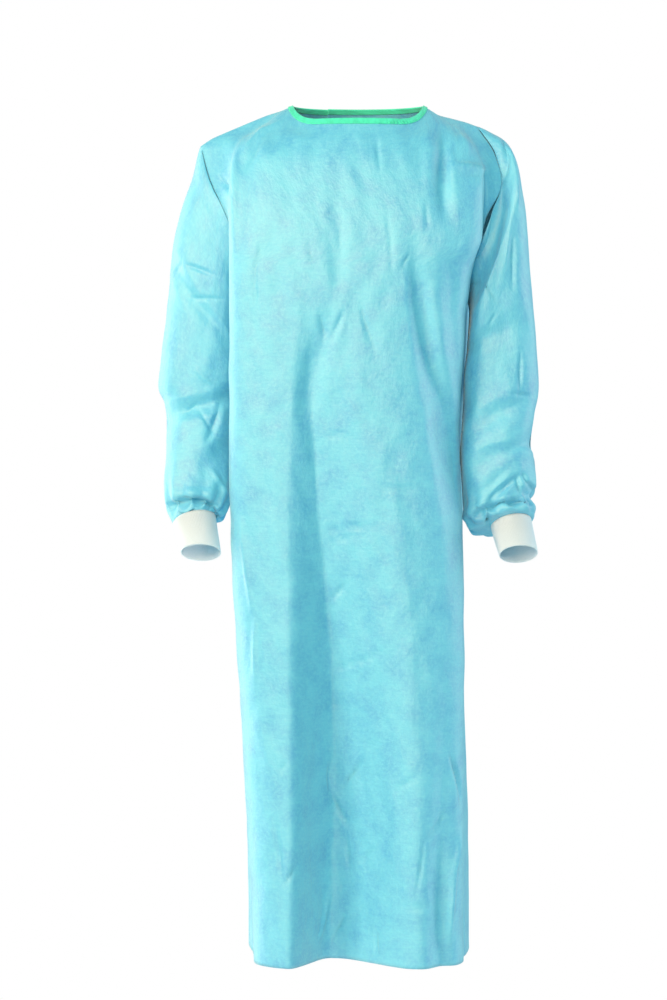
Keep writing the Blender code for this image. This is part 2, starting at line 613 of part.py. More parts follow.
def finished(name, mesh, colour):
    bmesh.ops.recalc_face_normals(mesh, faces=mesh.faces)
    if mesh.calc_volume(signed=True) < 0:
        bmesh.ops.reverse_faces(mesh, faces=mesh.faces)
    bmesh.ops.triangulate(mesh, faces=mesh.faces, quad_method="SHORT_EDGE")
    data = bpy.data.meshes.new(name)
    mesh.to_mesh(data)
    mesh.free()
    data.shade_smooth()
    piece = bpy.data.objects.new(name, data)
    data.materials.append(finish(colour))
    gown_collection().objects.link(piece)
    return piece


def finish(name):
    material = bpy.data.materials.get(name)
    if material is None:
        material = bpy.data.materials.new(name)
        material.use_nodes = True
        shader = material.node_tree.nodes["Principled BSDF"]
        shader.inputs["Base Color"].default_value = COLOURS[name]
        shader.inputs["Roughness"].default_value = 0.75
        shader.inputs["Metallic"].default_value = 0.0
    return material


def gown_collection():
    collection = bpy.data.collections.get("surgical gown")
    if collection is None:
        collection = bpy.data.collections.new("surgical gown")
        bpy.context.scene.collection.children.link(collection)
    return collection


# ------------------------------------------------------------------ neck binding
def binding(grids, steps):
    """A folded strip over the neck edge, from the right back panel's end round to the left one's."""
    strips = [("back_right", slice(None, -1)), ("front", slice(None)), ("back_left", slice(1, None))]
    edge = np.vstack([grids[name][0, columns] for name, columns in strips])
    lower = np.vstack([grids[name][1, columns] for name, columns in strips])
    edge_out = np.vstack([steps[name][0, columns] for name, columns in strips])
    lower_out = np.vstack([steps[name][1, columns] for name, columns in strips])
    up = edge - lower
    up /= np.linalg.norm(up, axis=1, keepdims=True)
    length = run_length(edge)
    knot = BINDING_KNOT * ease(1 - np.abs(length[-1] - 0.006 - length) / 0.012)[:, None]
    far = BINDING_GAP + BINDING_WALL
    outer = folded_strip(edge, lower, edge_out, lower_out, up, far)
    inner = folded_strip(edge, lower, edge_out, lower_out, up, BINDING_GAP)
    outer[4:] -= knot * lower_out
    wall_piece("neck_binding", outer, inner, "binding", tube=False)


def folded_strip(edge, lower, edge_out, lower_out, up, away):
    """Rows of a strip folded over the neck edge, lying this far off the panel on every side."""
    return np.array([
        lower + lower_out * away,
        edge + edge_out * away,
        edge + edge_out * away * 0.4 + up * away,
        edge - edge_out * (WALL + away * 0.4) + up * away,
        edge - edge_out * (WALL + away),
        lower - lower_out * (WALL + away),
    ])


# ------------------------------------------------------------------ the gown
SEAMS = {
    "front": ("first column", "last column"),
    "back_right": ("last column",),
    "back_left": ("first column",),
    "sleeve_right": ("first row", "last row"),
    "sleeve_left": ("first row", "last row"),
    "cuff_right": ("first row",),
    "cuff_left": ("first row",),
}


def main():
    for item in list(bpy.data.objects):
        bpy.data.objects.remove(item)
    grids = {"front": front_grid()}
    grids["back_right"], grids["back_left"] = back_grids()
    for side in ("right", "left"):
        grids["sleeve_" + side] = sleeve_grid(side)
        grids["cuff_" + side] = cuff_grid(side)
    steps = mitres(grids)
    for side in ("right", "left"):
        armhole = steps["sleeve_" + side][0]
        armhole[1::2] = (armhole[:-1:2] + armhole[2::2]) / 2
    for name, grid in grids.items():
        outer, inner = part_seams(grid, steps[name], SEAMS[name])
        arm = name.startswith(("sleeve", "cuff"))
        wall_piece(name, outer, inner, "cuff" if name.startswith("cuff") else "gown", tube=arm)
    binding(grids, steps)


main()
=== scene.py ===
"""A surgical gown in the hollow shape it takes when it is worn.

The script makes its cloth, knitted cuffs, neck tape and stitches, and a softly lit stage for it.
Units are metres, +Z is up. The wearer looks along -Y, so the wearer's left is +X.
The origin lies midway between the two side points of the neck. A drop is a distance below it.
"""

import math

import bmesh
import bpy
import numpy as np
from bpy.props import FloatProperty, FloatVectorProperty, IntProperty, PointerProperty
from mathutils import Matrix, Vector


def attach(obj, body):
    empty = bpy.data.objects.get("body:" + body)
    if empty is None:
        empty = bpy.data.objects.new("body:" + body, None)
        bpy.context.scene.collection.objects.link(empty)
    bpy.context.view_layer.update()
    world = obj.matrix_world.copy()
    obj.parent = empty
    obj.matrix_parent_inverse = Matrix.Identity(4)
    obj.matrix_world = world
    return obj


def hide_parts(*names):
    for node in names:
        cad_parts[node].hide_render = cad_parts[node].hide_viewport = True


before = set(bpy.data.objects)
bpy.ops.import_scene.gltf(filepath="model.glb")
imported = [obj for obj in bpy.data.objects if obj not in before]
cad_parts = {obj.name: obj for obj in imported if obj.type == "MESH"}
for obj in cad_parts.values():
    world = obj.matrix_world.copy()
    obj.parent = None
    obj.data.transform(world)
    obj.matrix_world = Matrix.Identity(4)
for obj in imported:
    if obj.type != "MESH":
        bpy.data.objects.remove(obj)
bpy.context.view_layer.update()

bl_info = {
    "name": "Surgical gown",
    "version": (1, 0, 0),
    "blender": (4, 5, 0),
    "location": "3D View > Sidebar > Gown",
    "description": "Builds the cloth, cuffs, neck tape and stitches of a surgical gown",
    "category": "Add Mesh",
}

BODY = "root"

# ------------------------------------------------------------------ sizes of the cut
NECK_HALF = 0.0985            # half the width of the neck opening
PIT_DROP = 0.275              # underarm point
HEM_DROP = 1.279              # lower edge
BINDING_LEVEL = 0.045         # level at which the neck tape ends

# A level says how far down a panel a row lies: 0 neck edge, 1 shoulder tip, 2 underarm, 3 hem.
LEVEL_ROWS = (28, 38, 178)    # rows of cloth in each of the three stretches
FRONT_COLUMNS = 196
BACK_COLUMNS = 84
SLEEVE_RINGS = 236
SLEEVE_COLUMNS = 192
CUFF_RINGS = 24
RIB_COLUMNS = 6               # columns of the cuffs' knit for each rib

# How far each shoulder seam bows up from a straight line between neck and shoulder tip.
SHOULDER_COLUMNS = ("level", "right_rise", "left_rise")
SHOULDER_BOWS = (
    (0.00, 0.0000, 0.0000),
    (0.10, 0.0005, -0.0050),
    (0.30, 0.0032, -0.0045),
    (0.60, 0.0040, -0.0018),
    (0.85, 0.0042, 0.0000),
    (1.00, 0.0000, 0.0000),
)

SLOPE_LIMIT = 2.0             # steepest a curve through a table runs, in slopes of its flatter side
RETURN_STEPS = 24             # points worked out between a seam and the fold edge beside it
ARC_STEPS = 160               # points worked out from fold edge to fold edge
RETURN_CURL = 1.6             # how sharply the cloth curls in from the fold edge to the seam
SEAM_FADE = 0.035             # folds fade out over this stretch beside a seam
NECK_SINK = 1.15              # how soon the neck edge reaches its lowest

# One row for each cut across the front or back. reach is how far the middle stands out from the
# side seam's plane, square is how boxy the sweep is, flat is how soon it drops to its lowest, and
# the last six columns place the two fold edges where the panel turns round the side.
CUT_COLUMNS = ("level", "drop", "reach", "square", "flat",
               "right_x", "right_y", "right_drop", "left_x", "left_y", "left_drop")
FRONT_CUTS = (
    (0.00, 0.0270, 0.078, 2.3, 1.0, -0.0985, 0.000, 0.000, 0.0985, 0.000, 0.000),
    (0.045, 0.0355, 0.083, 2.3, 0.9, -0.1052, -0.003, 0.003, 0.1040, -0.003, 0.0035),
    (0.50, 0.066, 0.102, 2.4, 0.2, -0.145, -0.028, 0.036, 0.132, -0.020, 0.025),
    (1.00, 0.110, 0.119, 2.5, 0.0, -0.184, -0.045, 0.067, 0.160, -0.038, 0.050),
    (1.35, 0.168, 0.131, 2.7, 0.0, -0.191, -0.072, 0.130, 0.186, -0.066, 0.105),
    (1.70, 0.225, 0.138, 2.8, 0.0, -0.192, -0.078, 0.205, 0.184, -0.072, 0.190),
    (2.00, 0.275, 0.140, 2.8, 0.0, -0.192, -0.076, 0.275, 0.165, -0.050, 0.275),
    (2.20, 0.476, 0.138, 2.8, 0.0, -0.192, -0.070, 0.476, 0.152, -0.028, 0.476),
    (2.35, 0.626, 0.136, 2.8, 0.0, -0.190, -0.062, 0.626, 0.156, -0.045, 0.626),
    (2.60, 0.877, 0.138, 3.0, 0.0, -0.178, -0.020, 0.877, 0.158, -0.050, 0.877),
    (2.80, 1.078, 0.141, 3.0, 0.0, -0.166, -0.030, 1.078, 0.158, -0.048, 1.078),
    (3.00, 1.279, 0.145, 2.8, 0.0, -0.155, -0.050, 1.279, 0.157, -0.035, 1.279),
)
BACK_CUTS = (
    (0.00, 0.000, 0.060, 2.1, 1.0, -0.0985, 0.000, 0.000, 0.0985, 0.000, 0.000),
    (0.045, 0.0065, 0.064, 2.1, 0.9, -0.1052, 0.003, 0.003, 0.1040, 0.003, 0.0035),
    (0.50, 0.040, 0.090, 2.3, 0.2, -0.150, 0.020, 0.034, 0.135, 0.018, 0.023),
    (1.00, 0.085, 0.112, 2.5, 0.0, -0.195, 0.040, 0.075, 0.165, 0.035, 0.045),
    (1.35, 0.150, 0.128, 2.7, 0.0, -0.200, 0.065, 0.125, 0.195, 0.060, 0.105),
    (1.70, 0.215, 0.135, 2.7, 0.0, -0.184, 0.085, 0.205, 0.186, 0.085, 0.195),
    (2.00, 0.275, 0.137, 2.7, 0.0, -0.160, 0.082, 0.275, 0.175, 0.080, 0.275),
    (2.20, 0.476, 0.132, 2.7, 0.0, -0.158, 0.078, 0.476, 0.171, 0.074, 0.476),
    (2.35, 0.626, 0.131, 2.7, 0.0, -0.162, 0.078, 0.626, 0.161, 0.068, 0.626),
    (2.60, 0.877, 0.135, 2.6, 0.0, -0.168, 0.085, 0.877, 0.163, 0.065, 0.877),
    (2.80, 1.078, 0.141, 2.7, 0.0, -0.170, 0.098, 1.078, 0.169, 0.070, 1.078),
    (3.00, 1.279, 0.147, 2.8, 0.0, -0.168, 0.110, 1.279, 0.172, 0.075, 1.279),
)

# Armhole seams, tip to underarm.
ARMHOLE_COLUMNS = ("share", "front_x", "front_y", "front_drop", "back_x", "back_y", "back_drop")
ARMHOLES = {
    "right": (
        (0.00, -0.2370, 0.000, 0.060, -0.237, 0.000, 0.060),
        (0.25, -0.2225, -0.027, 0.112, -0.226, 0.035, 0.112),
        (0.50, -0.2035, -0.045, 0.154, -0.207, 0.060, 0.162),
        (0.75, -0.1780, -0.040, 0.212, -0.180, 0.055, 0.222),
        (1.00, -0.1520, 0.008, 0.275, -0.152, 0.008, 0.275),
    ),
    "left": (
        (0.00, 0.1790, 0.000, 0.030, 0.179, 0.000, 0.030),
        (0.25, 0.2060, -0.034, 0.078, 0.205, 0.035, 0.085),
        (0.50, 0.2130, -0.048, 0.128, 0.214, 0.062, 0.140),
        (0.70, 0.1900, -0.056, 0.175, 0.199, 0.058, 0.198),
        (0.84, 0.1790, -0.050, 0.217, 0.182, 0.044, 0.236),
        (1.00, 0.1520, 0.006, 0.275, 0.152, 0.006, 0.275),
    ),
}

SIDE_SEAM_COLUMNS = ("level", "right_x", "right_y", "left_x", "left_y")
SIDE_SEAMS = (
    (2.00, -0.152, 0.008, 0.152, 0.006),
    (2.20, -0.152, 0.013, 0.145, 0.010),
    (2.35, -0.156, 0.015, 0.148, 0.004),
    (2.60, -0.162, 0.020, 0.155, -0.012),
    (2.80, -0.163, 0.022, 0.158, -0.018),
    (3.00, -0.160, 0.024, 0.160, -0.020),
)

# Each fold pushes a panel inward along Y. It starts at start_x, is deepest at line_x and ends at end_x.
# crisp says how straight its flanks are, from 0 for a soft wave to 1 for a pinched fold.
FOLD_COLUMNS = ("drop", "start_x", "line_x", "end_x", "depth", "crisp")
FRONT_FOLDS = {
    "long valley": (
        (0.28, -0.088, -0.070, -0.035, 0.000, 0.6),
        (0.34, -0.091, -0.069, -0.015, 0.005, 0.7),
        (0.40, -0.096, -0.070, 0.000, 0.011, 0.7),
        (0.49, -0.100, -0.067, 0.030, 0.018, 0.8),
        (0.63, -0.104, -0.057, 0.060, 0.030, 0.8),
        (0.80, -0.104, -0.042, 0.080, 0.054, 0.6),
        (0.97, -0.104, -0.036, 0.092, 0.080, 0.3),
        (1.28, -0.106, -0.040, 0.098, 0.108, 0.0),
    ),
    "left chest fold": (
        (0.20, 0.068, 0.082, 0.098, 0.000, 0.3),
        (0.25, 0.066, 0.082, 0.104, 0.004, 0.5),
        (0.34, 0.074, 0.092, 0.118, 0.009, 0.7),
        (0.41, 0.086, 0.113, 0.140, 0.013, 0.7),
        (0.49, 0.098, 0.136, 0.160, 0.017, 0.6),
        (0.56, 0.110, 0.144, 0.170, 0.015, 0.5),
        (0.63, 0.122, 0.144, 0.170, 0.008, 0.4),
        (0.72, 0.124, 0.146, 0.170, 0.000, 0.3),
    ),
    "left side fold": (
        (0.22, 0.118, 0.136, 0.152, 0.000, 0.3),
        (0.29, 0.116, 0.136, 0.152, 0.005, 0.5),
        (0.36, 0.122, 0.140, 0.153, 0.006, 0.5),
        (0.44, 0.134, 0.146, 0.156, 0.000, 0.3),
    ),
    "left hem fold": (
        (1.04, 0.100, 0.126, 0.150, 0.000, 0.2),
        (1.15, 0.097, 0.120, 0.145, 0.009, 0.3),
        (1.28, 0.097, 0.122, 0.147, 0.014, 0.2),
    ),
    "right shoulder hollow": (
        (0.05, -0.187, -0.172, -0.140, 0.000, 0.2),
        (0.10, -0.187, -0.174, -0.140, 0.006, 0.2),
        (0.18, -0.187, -0.174, -0.145, 0.005, 0.2),
        (0.26, -0.187, -0.175, -0.150, 0.000, 0.2),
    ),
    "left shoulder hollow": (
        (0.03, 0.098, 0.124, 0.146, 0.000, 0.3),
        (0.06, 0.098, 0.124, 0.142, 0.007, 0.5),
        (0.13, 0.100, 0.124, 0.145, 0.008, 0.5),
        (0.20, 0.104, 0.122, 0.150, 0.000, 0.3),
    ),
}
BACK_FOLDS = {
    "right valley": (
        (0.40, -0.130, -0.095, -0.060, 0.000, 0.4),
        (0.75, -0.135, -0.090, -0.045, 0.020, 0.4),
        (1.28, -0.140, -0.085, -0.030, 0.045, 0.1),
    ),
    "left valley": (
        (0.30, 0.060, 0.095, 0.130, 0.000, 0.4),
        (0.75, 0.070, 0.108, 0.145, 0.018, 0.4),
        (1.28, 0.060, 0.110, 0.155, 0.038, 0.1),
    ),
}

# The two back panels lap at the middle, the right one outside.
# inset is how far the inner one lies inside the outer one.
LAP_COLUMNS = ("level", "outer_end_x", "inner_end_x", "inset")
LAPS = (
    (0.00, 0.055, -0.045, 0.0075),
    (0.10, 0.056, -0.046, 0.0075),
    (0.60, 0.058, -0.048, 0.0045),
    (1.00, 0.060, -0.050, 0.0042),
    (3.00, 0.075, -0.060, 0.0050),
)
LAP_RAMP_START = 0.135        # x where the inner panel starts to draw in
LAP_RAMP_END = 0.085

# Sleeve rings, armhole to cuff. freed is how far a ring has left the armhole's shape, bow is how
# far its front and back stand further out than its middle, and square is how boxy it is.
RING_COLUMNS = ("along", "freed", "outer_x", "outer_drop", "inner_x", "inner_drop",
                "mid_y", "half_y", "bow", "tilt", "square")
SLEEVE_CUTS = {
    "right": (
        (0.00, 0.00, -0.2370, 0.060, -0.152, 0.275, 0.004, 0.050, 0.010, 0, 2.0),
        (0.07, 0.55, -0.2435, 0.077, -0.166, 0.288, 0.010, 0.052, 0.010, 0, 2.0),
        (0.14, 0.85, -0.2500, 0.105, -0.172, 0.300, 0.014, 0.054, 0.006, 0, 2.1),
        (0.22, 1.00, -0.2640, 0.145, -0.174, 0.315, 0.016, 0.056, 0.000, 0, 2.2),
        (0.32, 1.00, -0.2780, 0.205, -0.174, 0.338, 0.018, 0.057, 0.000, 2, 2.2),
        (0.45, 1.00, -0.2880, 0.295, -0.173, 0.372, 0.020, 0.057, 0.000, 4, 2.2),
        (0.55, 1.00, -0.2970, 0.374, -0.174, 0.412, 0.022, 0.057, 0.000, 5, 2.2),
        (0.60, 1.00, -0.3030, 0.419, -0.176, 0.438, 0.024, 0.057, 0.000, 7, 2.2),
        (0.66, 1.00, -0.2935, 0.446, -0.180, 0.458, 0.021, 0.056, 0.000, 9, 2.2),
        (0.74, 1.00, -0.2890, 0.485, -0.185, 0.490, 0.013, 0.053, 0.000, 14, 2.2),
        (0.82, 1.00, -0.2885, 0.525, -0.189, 0.528, 0.002, 0.051, 0.000, 19, 2.2),
        (0.90, 1.00, -0.2910, 0.573, -0.191, 0.584, -0.011, 0.049, 0.000, 23, 2.2),
        (0.95, 1.00, -0.2870, 0.600, -0.200, 0.612, -0.022, 0.045, 0.000, 26, 2.1),
        (1.00, 1.00, -0.2790, 0.622, -0.214, 0.622, -0.030, 0.0325, 0.000, 27, 2.0),
    ),
    "left": (
        (0.00, 0.00, 0.1790, 0.030, 0.152, 0.275, 0.004, 0.048, 0.045, 0, 2.0),
        (0.07, 0.38, 0.2040, 0.0395, 0.163, 0.285, 0.002, 0.058, 0.036, 0, 2.4),
        (0.14, 0.75, 0.2280, 0.0560, 0.168, 0.296, -0.004, 0.062, 0.022, 0, 2.8),
        (0.20, 0.92, 0.2368, 0.0785, 0.168, 0.306, -0.009, 0.064, 0.014, 0, 3.2),
        (0.28, 1.00, 0.2440, 0.120, 0.167, 0.318, -0.013, 0.064, 0.006, 0, 3.4),
        (0.38, 1.00, 0.2530, 0.190, 0.166, 0.338, -0.013, 0.062, 0.002, 2, 3.4),
        (0.48, 1.00, 0.2610, 0.283, 0.1635, 0.372, -0.011, 0.058, 0.000, 4, 3.1),
        (0.55, 1.00, 0.2670, 0.351, 0.160, 0.405, -0.010, 0.055, 0.000, 5, 2.8),
        (0.60, 1.00, 0.2716, 0.419, 0.158, 0.440, -0.010, 0.055, 0.000, 7, 2.6),
        (0.67, 1.00, 0.2650, 0.465, 0.156, 0.472, -0.013, 0.054, 0.000, 10, 2.5),
        (0.74, 1.00, 0.2596, 0.508, 0.153, 0.513, -0.019, 0.053, 0.000, 15, 2.5),
        (0.82, 1.00, 0.2660, 0.536, 0.1535, 0.543, -0.024, 0.052, 0.000, 19, 2.4),
        (0.89, 1.00, 0.2670, 0.574, 0.157, 0.598, -0.029, 0.049, 0.000, 24, 2.3),
        (0.925, 1.00, 0.2545, 0.5915, 0.161, 0.622, -0.032, 0.046, 0.000, 25, 2.2),
        (0.955, 1.00, 0.2640, 0.607, 0.170, 0.637, -0.034, 0.044, 0.000, 26, 2.1),
        (1.00, 1.00, 0.2610, 0.627, 0.199, 0.627, -0.037, 0.0310, 0.000, 28, 2.0),
    ),
}

# Folds across a sleeve: a line from one place to another, in share of the length and in degrees
# round the sleeve from its outer side, over the front at 90, to the inner side at 180.
CREASE_COLUMNS = ("along_start", "round_start", "along_end", "round_end", "half_width", "depth")
SLEEVE_FOLDS = {
    "right": (
        (0.36, 20, 0.43, 110, 0.012, 0.005),
        (0.60, 150, 0.70, 75, 0.014, 0.007),
        (0.72, 20, 0.68, 95, 0.013, 0.006),
        (0.80, 160, 0.88, 90, 0.013, 0.006),
        (0.62, 210, 0.66, 300, 0.014, 0.006),
    ),
    "left": (
        (0.46, 160, 0.52, 60, 0.012, 0.005),
        (0.62, 40, 0.72, 130, 0.014, 0.007),
        (0.74, 15, 0.84, 110, 0.014, 0.008),
        (0.82, 20, 0.92, 120, 0.013, 0.008),
        (0.62, 210, 0.67, 300, 0.014, 0.006),
    ),
}
SLEEVE_LENGTH = 0.56          # shoulder tip to cuff
FOLD_END = 0.15               # part of half a wave by which a sleeve's fold is cut short at each end
GATHERS = 11                  # round each sleeve where it meets its cuff
GATHER_START = 0.84           # share of the sleeve's length where the gathers begin
GATHER_DEPTH = 0.0040
GATHER_LOSS = 0.8             # share of that depth that is gone at the cuff
GATHER_SWAY = 0.7             # how unevenly the gathers are spread round the sleeve
JOIN_SHARE = 0.05             # last share of the sleeve's length, where it takes on the cuff's shape

# Cuffs, from the gathers to the lip. A ring is square to the cuff's axis, or level where levelled is 1.
CUFF_COLUMNS = ("along", "x", "y", "drop", "radius", "levelled")
CUFFS = {
    "right": (
        (0.0, -0.2455, -0.0300, 0.6220, 0.0325, 0.0),
        (0.5, -0.2400, -0.0420, 0.6460, 0.0310, 0.4),
        (1.0, -0.2345, -0.0545, 0.6700, 0.0298, 1.0),
    ),
    "left": (
        (0.0, 0.2285, -0.0370, 0.6270, 0.0312, 0.0),
        (0.5, 0.2335, -0.0490, 0.6500, 0.0300, 0.3),
        (1.0, 0.2385, -0.0620, 0.6720, 0.0288, 0.7),
    ),
}

